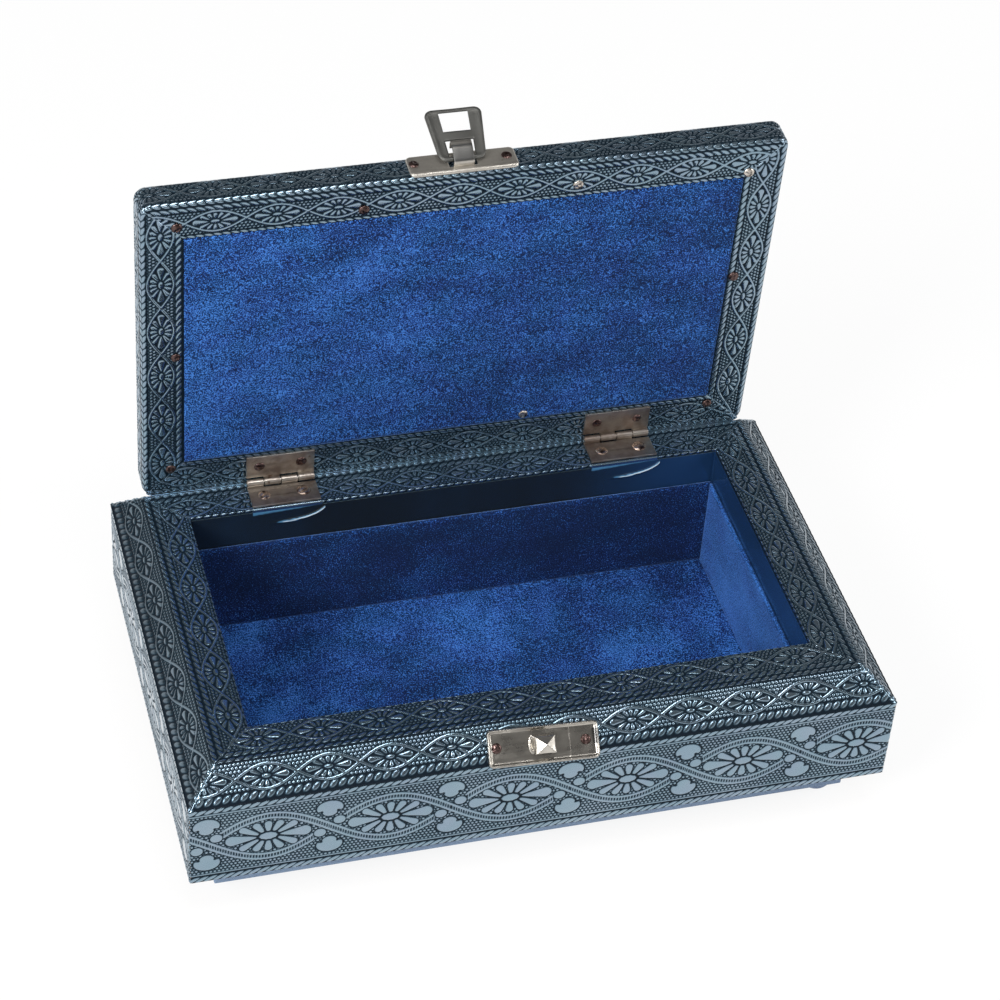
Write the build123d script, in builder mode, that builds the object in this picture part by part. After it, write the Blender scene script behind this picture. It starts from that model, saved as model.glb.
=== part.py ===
from build123d import *
import os
from math import cos, hypot, radians, sin

# Lidded jewelry box: a wooden tray with a belt moulding round it, all clad in
# embossed sheet metal, lined with velvet cards, closed by a hasp over a stud.
# The origin is the centre of the base on the plane of the feet, +Z is up and
# -Y is the front. The lid is modelled open, as it stands at its stop.

# base, overall
box_width = 203.0
box_depth = 127.0
belt_height = 28.0
bevel_run = 8.5
bevel_rise = 8.5
rim_width = 12.0
plinth_height = 12.0
board_thickness = 3.0
sheet = 0.4

# feet
foot_height = 5.0
foot_radius = 5.2
foot_inset = 5.6
foot_flat = 0.2

# velvet cards
floor_card = 1.0
side_card = 1.1
card_clearance = 0.2
lip_depth = 12.8
lip_tuck = 1.0

# lid
lid_thickness = 10.0
lid_edge_radius = 2.0
lid_border = 12.4
lid_card = 1.2
lid_open_angle = 86.3

# hinges
hinge_inset = 1.8
hinge_rise = 1.45
hinge_spacing = 104.0
hinge_length = 20.5
knuckle_radius = 1.15
knuckle_count = 4
knuckle_gap = 0.3
leaf_reach = 9.5
leaf_thickness = 0.6
leaf_relief = 1.3
pin_radius = 0.5
pin_fit = 0.02
turning_fit = 0.06

# nails
nail_head_radius = 1.35
nail_head_height = 0.65
nail_shank_radius = 0.6
nail_length = 6.0
nail_fit = 0.03

# catch on the front bevel
hardware_x = -2.0
catch_length = 31.0
catch_height = 10.2
catch_rise = -0.4
catch_sheet = 0.5
catch_rim_width = 0.8
catch_rim_height = 1.1
catch_corner = 0.7
stud_neck_width = 4.4
stud_neck_depth = 3.5
stud_neck_height = 3.3
stud_head_width = 6.4
stud_head_depth = 5.3
stud_head_edge = 0.5
stud_peak = 1.4
stud_tip = 0.3

# latch plate on the lid's front edge
latch_length = 31.0
latch_top = 8.8
latch_sheet = 0.6
latch_fold_angle = 45.0
latch_slot_width = 8.2
latch_slot_height = 4.3
tongue_width = 6.2
tongue_sheet = 0.55
loop_height = 4.4
loop_stand_off = 2.1
loop_bore = 0.95
tongue_end = 0.9

# hasp
hasp_lean = 68.0
hasp_foot_width = 13.4
hasp_end_width = 16.6
hasp_sheet = 0.65
hasp_rim_height = 0.35
hasp_rim_width = 0.8
hasp_bar = 0.6
hasp_reach = 15.5
window_start = 8.3
window_height = 6.2
window_width = 7.8
slot_reach = 5.6
slot_width = 8.6
hasp_corner = 1.6

# nails as they lie, from the middle of their plate or leaf
catch_nail_x = (-13.3, 11.9)
latch_nail_x = (-13.7, 12.8)
latch_nail_height = 5.6
base_leaf_nail_x = 5.9
base_leaf_nail_y = 5.0
lid_leaf_nail_x = 6.3
lid_leaf_nail_y = 5.6
# nails of the lid's border: left edge -1, middle 0 or right edge 1 and x from
# there, then front edge -1, middle 0 or back edge 1 and y from there
lid_nails_from_edges = [
    (-1, 10.4, -1, 8.2),
    (0, -30.5, -1, 9.1),
    (0, 30.9, -1, 8.4),
    (1, -11.3, -1, 10.8),
    (1, -10.6, 0, -5.1),
    (-1, 10.0, 0, 0.7),
    (-1, 8.4, 1, -10.4),
    (0, 22.0, 1, -14.7),
    (1, -12.3, 1, -9.2),
]

# levels and insets that follow
board_top = foot_height + board_thickness
belt_bottom = foot_height + plinth_height
bevel_foot = belt_bottom + belt_height
rim_top = bevel_foot + bevel_rise
well_inset = bevel_run + rim_width
tray_width = box_width - 2 * bevel_run
tray_depth = box_depth - 2 * bevel_run
slope_length = hypot(bevel_run, bevel_rise)
# height of the wood under the bevel's sheet, as a function of the inset
sheet_drop = sheet * slope_length / bevel_run
ridge_inset = bevel_run + sheet * (slope_length - bevel_run) / bevel_rise
foot_notch = sheet * bevel_rise / bevel_run - sheet_drop
hinge_y = tray_depth / 2 - hinge_inset
hinge_z = rim_top + hinge_rise
opened = radians(lid_open_angle)

# frames: rim top, bevel, hinge axis, lid underside, lid front edge
rim_frame = Plane(origin=(0, hinge_y, rim_top), x_dir=(1, 0, 0), z_dir=(0, 0, 1))
bevel_frame = Plane(
    origin=(hardware_x, -box_depth / 2, bevel_foot),
    x_dir=(1, 0, 0),
    z_dir=(0, -bevel_rise, bevel_run),
)
lid_up = Vector(0, sin(opened), cos(opened))
lid_axis = Plane(origin=(0, hinge_y, hinge_z), x_dir=(1, 0, 0), z_dir=lid_up)
lid_frame = Plane(
    origin=lid_axis.from_local_coords(Vector(0, -hinge_y, hinge_rise)),
    x_dir=(1, 0, 0),
    z_dir=lid_up,
)
# nails and leaves on the underside are driven upward into the lid
underside_frame = Plane(
    origin=lid_frame.from_local_coords(Vector(0, -tray_depth / 2, 0)),
    x_dir=(-1, 0, 0),
    z_dir=lid_up * -1,
)
latch_frame = Plane(
    origin=lid_frame.from_local_coords(Vector(hardware_x, -tray_depth / 2, 0)),
    x_dir=(1, 0, 0),
    z_dir=lid_frame.y_dir * -1,
)
lean = radians(hasp_lean)
hasp_frame = Plane(
    origin=latch_frame.from_local_coords(Vector(0, loop_height, loop_stand_off)),
    x_dir=(1, 0, 0),
    z_dir=latch_frame.z_dir * sin(lean) - latch_frame.y_dir * cos(lean),
)

sides = (("front", 0), ("right", 90), ("back", 180), ("left", 270))


def side_sizes(turn):
    # half the size across the side, then half the length along it
    if turn % 180 == 0:
        return box_depth / 2, box_width / 2
    return box_width / 2, box_depth / 2


def mitred_run(frame, turn, reach, span, draw):
    # a strip along one side of a rectangle, its section drawn by draw(reach)
    # and its ends cut at 45 degrees through the rectangle's corners
    angle = radians(turn)
    outward = frame.x_dir * sin(angle) - frame.y_dir * cos(angle)
    along = frame.x_dir * cos(angle) + frame.y_dir * sin(angle)
    section = Plane(origin=frame.origin, x_dir=outward, z_dir=outward.cross(frame.z_dir))
    with BuildSketch(section) as profile:
        with BuildLine():
            draw(reach)
        make_face()
    extrude(profile.sketch, amount=span, both=True)
    for way in (1, -1):
        corner = frame.origin + outward * reach + along * (way * span)
        mitre = Plane(origin=corner, z_dir=along * way - outward)
        split(bisect_by=mitre, keep=Keep.BOTTOM)


def polygon(points):
    # points are (inset from the outer face, height)
    def draw(reach):
        Polyline([(reach - inset, height) for inset, height in points], close=True)

    return draw


def drill(seats):
    with Locations(*seats):
        Cylinder(
            nail_shank_radius + nail_fit,
            nail_length + nail_fit,
            align=(Align.CENTER, Align.CENTER, Align.MAX),
            mode=Mode.SUBTRACT,
        )


def seats_on(frame, spots, height):
    return [frame.location * Location((x, y, height)) for x, y in spots]


def finish(piece, name):
    piece.part.label = name
    export_step(piece.part, f"parts/{name}.step")


os.makedirs("parts", exist_ok=True)

# one nail, its head seated on the plane z = 0
with BuildPart() as nail:
    with BuildSketch(Plane.XZ):
        with BuildLine():
            Line((0, nail_head_height), (0, -nail_length))
            Line((0, -nail_length), (nail_shank_radius, -nail_length + nail_shank_radius))
            Line((nail_shank_radius, -nail_length + nail_shank_radius), (nail_shank_radius, 0))
            Line((nail_shank_radius, 0), (nail_head_radius, 0))
            TangentArc((0, nail_head_height), (nail_head_radius, 0), tangent=(1, 0))
        make_face()
    revolve(axis=Axis.Z)

catch_mid = catch_rise + catch_height / 2
catch_nail_seats = seats_on(bevel_frame, [(x, catch_mid) for x in catch_nail_x], catch_sheet)
latch_nail_seats = seats_on(
    latch_frame, [(x, latch_nail_height) for x in latch_nail_x], latch_sheet
)
hinge_x = (-hinge_spacing / 2, hinge_spacing / 2)
base_leaf_seats = seats_on(
    rim_frame,
    [(x + way * base_leaf_nail_x, -base_leaf_nail_y) for x in hinge_x for way in (-1, 1)],
    leaf_thickness,
)
lid_leaf_from_front = tray_depth - hinge_inset - lid_leaf_nail_y
lid_leaf_seats = seats_on(
    underside_frame,
    [(-x - way * lid_leaf_nail_x, lid_leaf_from_front) for x in hinge_x for way in (-1, 1)],
    leaf_thickness,
)
lid_nail_seats = seats_on(
    underside_frame,
    [
        (-x_edge * tray_width / 2 - x, (y_edge + 1) * tray_depth / 2 + y)
        for x_edge, x, y_edge, y in lid_nails_from_edges
    ],
    0,
)

# sections of the base, as (inset, height)
panel_section = polygon(
    [
        (bevel_run, board_top),
        (bevel_run, rim_top - sheet_drop),
        (ridge_inset, rim_top - sheet),
        (well_inset - sheet, rim_top - sheet),
        (well_inset - sheet, board_top),
    ]
)
moulding_section = polygon(
    [
        (sheet, belt_bottom),
        (sheet, bevel_foot + foot_notch),
        (bevel_run, rim_top - sheet_drop),
        (bevel_run, belt_bottom),
    ]
)
wall_sheet_section = polygon(
    [
        (0, belt_bottom),
        (0, bevel_foot),
        (sheet, bevel_foot + foot_notch),
        (sheet, belt_bottom),
    ]
)
bevel_sheet_section = polygon(
    [
        (0, bevel_foot),
        (bevel_run, rim_top),
        (ridge_inset, rim_top - sheet),
        (sheet, bevel_foot + foot_notch),
    ]
)
lip_end = rim_top - lip_depth - lip_tuck
rim_sheet_section = polygon(
    [
        (bevel_run, rim_top),
        (well_inset, rim_top),
        (well_inset, lip_end),
        (well_inset - sheet, lip_end),
        (well_inset - sheet, rim_top - sheet),
        (ridge_inset, rim_top - sheet),
    ]
)
floor_top = board_top + floor_card
lining_section = polygon(
    [
        (well_inset, floor_top),
        (well_inset, rim_top - lip_depth),
        (well_inset + side_card, rim_top - lip_depth),
        (well_inset + side_card, floor_top),
    ]
)

for side, turn in sides:
    reach, span = side_sizes(turn)

    with BuildPart() as panel:
        mitred_run(Plane.XY, turn, reach, span, panel_section)
        drill(base_leaf_seats)
    finish(panel, f"{side}_panel")

    with BuildPart() as moulding:
        mitred_run(Plane.XY, turn, reach, span, moulding_section)
        drill(catch_nail_seats)
    finish(moulding, f"{side}_moulding")

    with BuildPart() as wall_sheet:
        mitred_run(Plane.XY, turn, reach, span, wall_sheet_section)
    finish(wall_sheet, f"{side}_wall_sheet")

    with BuildPart() as bevel_sheet:
        mitred_run(Plane.XY, turn, reach, span, bevel_sheet_section)
        drill(catch_nail_seats)
    finish(bevel_sheet, f"{side}_bevel_sheet")

    with BuildPart() as rim_sheet:
        mitred_run(Plane.XY, turn, reach, span, rim_sheet_section)
        drill(base_leaf_seats)
    finish(rim_sheet, f"{side}_rim_sheet")

    with BuildPart() as lining:
        mitred_run(Plane.XY, turn, reach, span, lining_section)
    finish(lining, f"{side}_lining")

with BuildPart() as bottom_board:
    with BuildSketch(Plane.XY.offset(foot_height)):
        Rectangle(tray_width, tray_depth)
    extrude(amount=board_thickness)
finish(bottom_board, "bottom_board")

# a foot is a dome whose crown is flattened a little
with BuildPart() as foot:
    with BuildSketch(Plane.XZ):
        Ellipse(foot_radius, foot_height + foot_flat)
        Rectangle(foot_radius, foot_height, align=(Align.MIN, Align.MAX), mode=Mode.INTERSECT)
    revolve(axis=Axis.Z)
with BuildPart(Plane.XY.offset(foot_height)) as feet:
    with GridLocations(tray_width - 2 * foot_inset, tray_depth - 2 * foot_inset, 2, 2):
        add(foot.part)
finish(feet, "feet")

floor_inset = well_inset - sheet + card_clearance
with BuildPart() as floor_lining:
    with BuildSketch(Plane.XY.offset(board_top)):
        Rectangle(box_width - 2 * floor_inset, box_depth - 2 * floor_inset)
    extrude(amount=floor_card)
finish(floor_lining, "floor_lining")

# catch: a tray with a folded rim, lying on the front bevel
with BuildPart() as catch_plate:
    with BuildSketch(bevel_frame):
        with Locations((0, catch_mid)):
            RectangleRounded(catch_length, catch_height, catch_corner)
    extrude(amount=catch_rim_height)
    with BuildSketch(bevel_frame.offset(catch_sheet)):
        with Locations((0, catch_mid)):
            Rectangle(catch_length - 2 * catch_rim_width, catch_height - 2 * catch_rim_width)
    extrude(amount=catch_rim_height, mode=Mode.SUBTRACT)
    drill(catch_nail_seats)
finish(catch_plate, "catch_plate")

neck_top = catch_sheet + stud_neck_height
with BuildPart() as catch_stud:
    with BuildSketch(bevel_frame.offset(catch_sheet)):
        with Locations((0, catch_mid)):
            Rectangle(stud_neck_width, stud_neck_depth)
    extrude(amount=stud_neck_height)
    with BuildSketch(bevel_frame.offset(neck_top)):
        with Locations((0, catch_mid)):
            Rectangle(stud_head_width, stud_head_depth)
    extrude(amount=stud_head_edge)
    with BuildSketch(bevel_frame.offset(neck_top + stud_head_edge)):
        with Locations((0, catch_mid)):
            Rectangle(stud_head_width, stud_head_depth)
    with BuildSketch(bevel_frame.offset(neck_top + stud_head_edge + stud_peak)):
        with Locations((0, catch_mid)):
            Rectangle(stud_tip, stud_tip * stud_head_depth / stud_head_width)
    loft()
finish(catch_stud, "catch_stud")

with BuildPart() as catch_nails:
    with Locations(*catch_nail_seats):
        add(nail.part)
finish(catch_nails, "catch_nails")

# hinges: knuckles 0 and 2 turn with the base, 1 and 3 with the lid
knuckle_pitch = hinge_length / knuckle_count
knuckle_length = knuckle_pitch - knuckle_gap


def knuckle_middle(slot):
    return (slot - (knuckle_count - 1) / 2) * knuckle_pitch


def leaf(axis, bore):
    # axis lies along the pin, its -Z toward the surface that the leaf lies on
    # and its -Y away from the pin
    with BuildSketch(axis.offset(-hinge_rise)) as plate:
        with Locations((0, -leaf_reach / 2)):
            Rectangle(hinge_length, leaf_reach)
        for slot in range(1, knuckle_count, 2):
            with Locations((knuckle_middle(slot), 0)):
                Rectangle(
                    knuckle_length + 2 * knuckle_gap, 2 * leaf_relief, mode=Mode.SUBTRACT
                )
    extrude(plate.sketch, amount=leaf_thickness)
    across = Plane(origin=axis.origin, x_dir=axis.y_dir, z_dir=axis.x_dir)
    for slot in range(0, knuckle_count, 2):
        middle = knuckle_middle(slot)
        with BuildSketch(across.offset(middle - knuckle_length / 2)) as barrel:
            Circle(knuckle_radius)
        extrude(barrel.sketch, amount=knuckle_length)
    with BuildSketch(across.offset(-hinge_length / 2)) as hole:
        Circle(bore)
    extrude(hole.sketch, amount=hinge_length, mode=Mode.SUBTRACT)


for name, x in (("left", hinge_x[0]), ("right", hinge_x[1])):
    base_axis = Plane(origin=(x, hinge_y, hinge_z), x_dir=(1, 0, 0), z_dir=(0, 0, 1))
    # the lid's leaf is the base's leaf turned over about the pin
    turned_axis = Plane(origin=(x, hinge_y, hinge_z), x_dir=(-1, 0, 0), z_dir=lid_up * -1)

    with BuildPart() as base_leaf:
        leaf(base_axis, pin_radius + pin_fit)
        drill(base_leaf_seats)
    finish(base_leaf, f"{name}_base_leaf")

    with BuildPart() as lid_leaf:
        leaf(turned_axis, pin_radius + turning_fit)
        drill(lid_leaf_seats)
    finish(lid_leaf, f"{name}_lid_leaf")

    with BuildPart() as hinge_pin:
        across = Plane(origin=base_axis.origin, x_dir=(0, 1, 0), z_dir=(1, 0, 0))
        with BuildSketch(across.offset(-hinge_length / 2)):
            Circle(pin_radius)
        extrude(amount=hinge_length)
    finish(hinge_pin, f"{name}_hinge_pin")

with BuildPart() as base_leaf_nails:
    with Locations(*base_leaf_seats):
        add(nail.part)
finish(base_leaf_nails, "base_leaf_nails")

# lid
lid_reach = {0: tray_depth / 2, 90: tray_width / 2}
card_width = tray_width - 2 * lid_border
card_depth = tray_depth - 2 * lid_border
board_radius = lid_edge_radius - sheet

with BuildPart() as lid_board:
    with BuildSketch(lid_frame.offset(sheet)):
        Rectangle(tray_width - 2 * sheet, tray_depth - 2 * sheet)
    extrude(amount=lid_thickness - 2 * sheet)
    lid_sort = Axis(origin=lid_frame.origin, direction=lid_up)
    faces_up = lid_board.faces().sort_by(lid_sort)
    fillet(faces_up[0].edges() + faces_up[-1].edges(), board_radius)
    with BuildSketch(lid_frame):
        Rectangle(card_width, card_depth)
    extrude(amount=lid_card, mode=Mode.SUBTRACT)
    drill(lid_nail_seats)
    drill(lid_leaf_seats)
    drill(latch_nail_seats)
finish(lid_board, "lid_board")

border_section = polygon(
    [
        (lid_edge_radius, 0),
        (lid_border, 0),
        (lid_border, sheet),
        (lid_edge_radius, sheet),
    ]
)


def edge_section(reach):
    # a strip round the lid's edge, with both arrises rounded
    outer = reach
    inner = reach - sheet
    flat = reach - lid_edge_radius
    low = lid_edge_radius
    high = lid_thickness - lid_edge_radius
    RadiusArc((flat, 0), (outer, low), -lid_edge_radius)
    Line((outer, low), (outer, high))
    RadiusArc((outer, high), (flat, lid_thickness), -lid_edge_radius)
    Line((flat, lid_thickness), (flat, lid_thickness - sheet))
    RadiusArc((flat, lid_thickness - sheet), (inner, high), board_radius)
    Line((inner, high), (inner, low))
    RadiusArc((inner, low), (flat, sheet), board_radius)
    Line((flat, sheet), (flat, 0))


for side, turn in sides:
    reach = lid_reach[turn % 180]
    span = lid_reach[90 - turn % 180]

    with BuildPart() as border:
        mitred_run(lid_frame, turn, reach, span, border_section)
        drill(lid_nail_seats)
        drill(lid_leaf_seats)
    finish(border, f"lid_{side}_border")

    with BuildPart() as edge:
        mitred_run(lid_frame, turn, reach, span, edge_section)
        drill(latch_nail_seats)
    finish(edge, f"lid_{side}_edge")

with BuildPart() as lid_top_sheet:
    with BuildSketch(lid_frame.offset(lid_thickness - sheet)):
        Rectangle(tray_width - 2 * lid_edge_radius, tray_depth - 2 * lid_edge_radius)
    extrude(amount=sheet)
finish(lid_top_sheet, "lid_top_sheet")

with BuildPart() as lid_lining:
    with BuildSketch(lid_frame):
        Rectangle(card_width - 2 * card_clearance, card_depth - 2 * card_clearance)
    extrude(amount=lid_card)
    drill(lid_nail_seats)
finish(lid_lining, "lid_lining")

with BuildPart() as lid_nails:
    with Locations(*lid_nail_seats):
        add(nail.part)
finish(lid_nails, "lid_nails")

with BuildPart() as lid_leaf_nails:
    with Locations(*lid_leaf_seats):
        add(nail.part)
finish(lid_leaf_nails, "lid_leaf_nails")

# latch plate: a strip folded round the lid's lower arris, with a slot whose
# tongue is bent out and curled into the loop that carries the hasp
latch_section = Plane(
    origin=latch_frame.origin, x_dir=latch_frame.z_dir, z_dir=latch_frame.x_dir * -1
)
loop_radius = loop_bore + tongue_sheet
slot_bottom = loop_height - loop_radius


def round_arris(radius, angle):
    # a point on the arris's rounding, measured from the flat of the edge
    turn = radians(angle)
    return (
        -lid_edge_radius + radius * cos(turn),
        lid_edge_radius - radius * sin(turn),
    )


with BuildPart() as latch_plate:
    fold_radius = lid_edge_radius + latch_sheet
    with BuildSketch(latch_section):
        with BuildLine():
            Line((0, latch_top), (latch_sheet, latch_top))
            Line((latch_sheet, latch_top), (latch_sheet, lid_edge_radius))
            ThreePointArc(
                (latch_sheet, lid_edge_radius),
                round_arris(fold_radius, latch_fold_angle / 2),
                round_arris(fold_radius, latch_fold_angle),
            )
            Line(
                round_arris(fold_radius, latch_fold_angle),
                round_arris(lid_edge_radius, latch_fold_angle),
            )
            ThreePointArc(
                round_arris(lid_edge_radius, latch_fold_angle),
                round_arris(lid_edge_radius, latch_fold_angle / 2),
                (0, lid_edge_radius),
            )
            Line((0, lid_edge_radius), (0, latch_top))
        make_face()
    extrude(amount=latch_length / 2, both=True)
    with BuildSketch(latch_frame):
        with Locations((0, slot_bottom + latch_slot_height / 2)):
            Rectangle(latch_slot_width, latch_slot_height)
    extrude(amount=latch_sheet, mode=Mode.SUBTRACT)
    with BuildSketch(latch_section):
        with Locations((loop_stand_off, loop_height)):
            Circle(loop_radius)
            Circle(loop_bore, mode=Mode.SUBTRACT)
        with Locations((loop_stand_off - loop_radius / 2, loop_height)):
            Rectangle(loop_radius, 2 * loop_radius, mode=Mode.SUBTRACT)
        with Locations((loop_stand_off / 2, slot_bottom + tongue_sheet / 2)):
            Rectangle(loop_stand_off, tongue_sheet)
        with Locations((latch_sheet / 2, slot_bottom)):
            Rectangle(latch_sheet, tongue_sheet)
        with Locations(
            ((loop_stand_off + tongue_end) / 2, loop_height + loop_bore + tongue_sheet / 2)
        ):
            Rectangle(loop_stand_off - tongue_end, tongue_sheet)
    extrude(amount=tongue_width / 2, both=True)
    drill(latch_nail_seats)
finish(latch_plate, "latch_plate")

with BuildPart() as latch_nails:
    with Locations(*latch_nail_seats):
        add(nail.part)
finish(latch_nails, "latch_nails")

# hasp: a pressed trapezoid with a turned-up rim, a window for the stud and a
# slot for the loop, whose lower side is the round bar that the loop holds
hasp_outline = [
    (-hasp_foot_width / 2, -hasp_bar),
    (hasp_foot_width / 2, -hasp_bar),
    (hasp_end_width / 2, hasp_reach),
    (-hasp_end_width / 2, hasp_reach),
]
with BuildPart() as hasp:
    with BuildSketch(hasp_frame.offset(-hasp_sheet / 2)):
        with BuildLine():
            Polyline(hasp_outline, close=True)
        make_face()
    extrude(amount=hasp_sheet + hasp_rim_height)
    long_edges = hasp.edges().filter_by(Axis(origin=hasp_frame.origin, direction=hasp_frame.z_dir))
    far_edges = long_edges.sort_by(Axis(origin=hasp_frame.origin, direction=hasp_frame.y_dir))[-2:]
    fillet(far_edges, hasp_corner)
    hollow = [
        (-hasp_foot_width / 2 + hasp_rim_width, -hasp_bar),
        (hasp_foot_width / 2 - hasp_rim_width, -hasp_bar),
        (hasp_end_width / 2 - hasp_rim_width, hasp_reach - hasp_rim_width),
        (-hasp_end_width / 2 + hasp_rim_width, hasp_reach - hasp_rim_width),
    ]
    with BuildSketch(hasp_frame.offset(hasp_sheet / 2)):
        with BuildLine():
            Polyline(hollow, close=True)
        make_face()
    extrude(amount=hasp_rim_height, mode=Mode.SUBTRACT)
    with BuildSketch(hasp_frame.offset(-hasp_sheet)):
        with Locations((0, window_start + window_height / 2)):
            Rectangle(window_width, window_height)
        with Locations((0, (slot_reach - hasp_bar) / 2)):
            Rectangle(slot_width, slot_reach + hasp_bar)
    extrude(amount=2 * hasp_sheet + hasp_rim_height, mode=Mode.SUBTRACT)
    with BuildSketch(Plane(origin=hasp_frame.origin, x_dir=hasp_frame.y_dir, z_dir=(1, 0, 0))):
        Circle(hasp_bar)
    extrude(amount=hasp_foot_width / 2 - hasp_rim_width, both=True)
finish(hasp, "hasp")

print("lid hinge axis", hinge_y, hinge_z)
print("hasp axis", hasp_frame.origin)
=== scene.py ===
# Jewelry box: embossed blue sheet over wood, velvet inside, lid on two hinges, hasp and stud.
# Lengths below are millimetres unless they say otherwise; meshes get metres at the very end.
import math
import bpy
import numpy as np
from mathutils import Matrix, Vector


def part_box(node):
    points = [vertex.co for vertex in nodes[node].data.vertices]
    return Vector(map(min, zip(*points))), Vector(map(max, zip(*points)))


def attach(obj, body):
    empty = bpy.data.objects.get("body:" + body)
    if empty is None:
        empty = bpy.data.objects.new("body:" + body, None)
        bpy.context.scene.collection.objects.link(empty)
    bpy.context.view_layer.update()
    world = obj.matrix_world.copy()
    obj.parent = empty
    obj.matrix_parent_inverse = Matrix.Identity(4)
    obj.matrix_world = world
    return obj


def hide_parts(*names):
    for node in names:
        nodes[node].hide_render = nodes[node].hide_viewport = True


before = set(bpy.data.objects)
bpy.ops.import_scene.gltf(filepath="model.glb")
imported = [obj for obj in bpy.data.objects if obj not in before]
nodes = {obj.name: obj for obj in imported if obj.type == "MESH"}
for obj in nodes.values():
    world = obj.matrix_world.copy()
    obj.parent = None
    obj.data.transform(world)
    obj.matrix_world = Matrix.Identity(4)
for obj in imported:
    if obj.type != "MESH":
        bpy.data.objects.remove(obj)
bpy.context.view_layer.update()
print("frame loaded,", len(nodes), "nodes")


class Sock:  # one socket; + - * between sockets and numbers add Math nodes
    def __init__(self, finish, socket):
        self.finish, self.socket = finish, socket

    def __add__(self, other):
        return self.finish.math("ADD", self, other)

    def __sub__(self, other):
        return self.finish.math("SUBTRACT", self, other)

    def __rsub__(self, other):
        return self.finish.math("SUBTRACT", other, self)

    def __mul__(self, other):
        return self.finish.math("MULTIPLY", self, other)

    __radd__ = __add__
    __rmul__ = __mul__


class Finish:  # a node tree that is filled from here
    def __init__(self, name, owner=None):
        self.owner = owner or bpy.data.materials.new(name)
        self.owner.use_nodes = True
        self.tree = self.owner.node_tree
        self.tree.nodes.clear()

    def node(self, kind, settings=None, values=None, out=0):  # settings first, then values and links of its sockets
        made = self.tree.nodes.new(kind)
        for key, value in (settings or {}).items():
            setattr(made, key, value)
        for key, value in (values or {}).items():
            if isinstance(value, Sock):
                self.tree.links.new(value.socket, made.inputs[key])
            else:
                made.inputs[key].default_value = value
        return Sock(self, made.outputs[out]) if len(made.outputs) else None

    def math(self, operation, a, b=0.0):
        return self.node("ShaderNodeMath", {"operation": operation}, {0: a, 1: b})

    def clamp(self, a):
        return self.node("ShaderNodeClamp", {}, {"Value": a})

    def between(self, a, low, high):  # 0 below low, 1 above high, smooth between
        return self.node("ShaderNodeMapRange", {"interpolation_type": "SMOOTHSTEP"},
                         {"Value": a, "From Min": low, "From Max": high})

    def mix(self, factor, a, b):  # colours
        a, b = (x if isinstance(x, Sock) else (*x, 1.0) for x in (a, b))
        return self.node("ShaderNodeMix", {"data_type": "RGBA"}, {0: factor, 6: a, 7: b}, out=2)

    def noise(self, where, scale, detail=2.0, roughness=0.5):
        return self.node("ShaderNodeTexNoise", {}, {"Vector": where, "Scale": scale, "Detail": detail,
                                                    "Roughness": roughness})

    def place(self):  # metres, in the part's own frame
        return self.node("ShaderNodeTexCoord", out=3)

    def stretched(self, where, x, y, z):
        return self.node("ShaderNodeMapping", {}, {"Vector": where, "Scale": (x, y, z)})

    def split(self, where, axis):  # one coordinate, axis 0, 1 or 2
        return self.node("ShaderNodeSeparateXYZ", {}, {"Vector": where}, out=axis)

    def rays(self, *names):  # which kind of ray meets the surface
        path = self.node("ShaderNodeLightPath").socket.node
        return [Sock(self, path.outputs[name]) for name in names]

    def attribute(self, name):
        return self.node("ShaderNodeAttribute", {"attribute_name": name}, {}, out=2)

    def bump(self, height, depth, strength=1.0):  # depth in metres
        return self.node("ShaderNodeBump", {}, {"Height": height, "Distance": depth, "Strength": strength})

    def surface(self, values):
        shader = self.node("ShaderNodeBsdfPrincipled", {}, values)
        self.node("ShaderNodeOutputMaterial", {}, {"Surface": shader})
        return self.owner


# in each look, Scale is how often a noise repeats over a metre, and At the two values between which a change sets in
sheetLook = {"recess": (0.0020, 0.0068, 0.0130), "flank": (0.029, 0.056, 0.080), "crest": (0.222, 0.325, 0.400),
             "crestViolet": (0.238, 0.322, 0.412), "worn": (0.36, 0.44, 0.50), "crestRough": 0.2, "recessRough": 0.5,
             "patchScale": 45.0, "grainScale": 1400.0, "tintScale": 130.0, "patches": 0.2, "grain": 0.16,
             "wear": 0.3, "coat": 0.5, "flankAt": (0.12, 0.5), "crestAt": (0.42, 0.84), "violetAt": (0.38, 0.68),
             "wornAt": (0.35, 0.75), "glossAt": (0.3, 0.9), "metalAt": (0.05, 0.5), "coatAt": (0.4, 0.9)}


def embossedFinish():
    # dark lacquer lies in the recesses and the crests are rubbed bright: colour, gloss and metal follow relief
    f, look = Finish("embossed blue sheet"), sheetLook
    place, relief = f.place(), f.attribute("relief")
    patch = f.noise(place, look["patchScale"], 3.0)
    grain = f.noise(place, look["grainScale"], 2.0, 0.6)
    tint = f.noise(place, look["tintScale"], 1.0)
    speckle = (grain - 0.5) * look["grain"]
    height = f.clamp(relief + speckle + (patch - 0.5) * look["patches"])
    low = f.mix(f.between(height, *look["flankAt"]), look["recess"], look["flank"])
    top = f.mix(f.between(tint, *look["violetAt"]), look["crest"], look["crestViolet"])
    top = f.mix(f.between(patch, *look["wornAt"]) * look["wear"], top, look["worn"])
    # painted shade: where the side bevels' shade attribute is high, their crests keep the flank colour
    colour = f.mix(f.between(height, *look["crestAt"]) * (1 - f.attribute("paintedBevelShade")), low, top)
    gloss = f.between(height, *look["glossAt"]) * (look["recessRough"] - look["crestRough"])
    return f.surface({"Base Color": colour, "Metallic": f.between(height, *look["metalAt"]) * 0.95,
                      "Roughness": look["recessRough"] - gloss + speckle, "Specular IOR Level": 0.12,
                      "Coat Weight": f.between(height, *look["coatAt"]) * look["coat"], "Coat Roughness": 0.12,
                      "Normal": f.bump(grain, 0.00003, 0.6)})


# crease is the colour of a painted highlight on the crease under each hinge leaf
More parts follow.
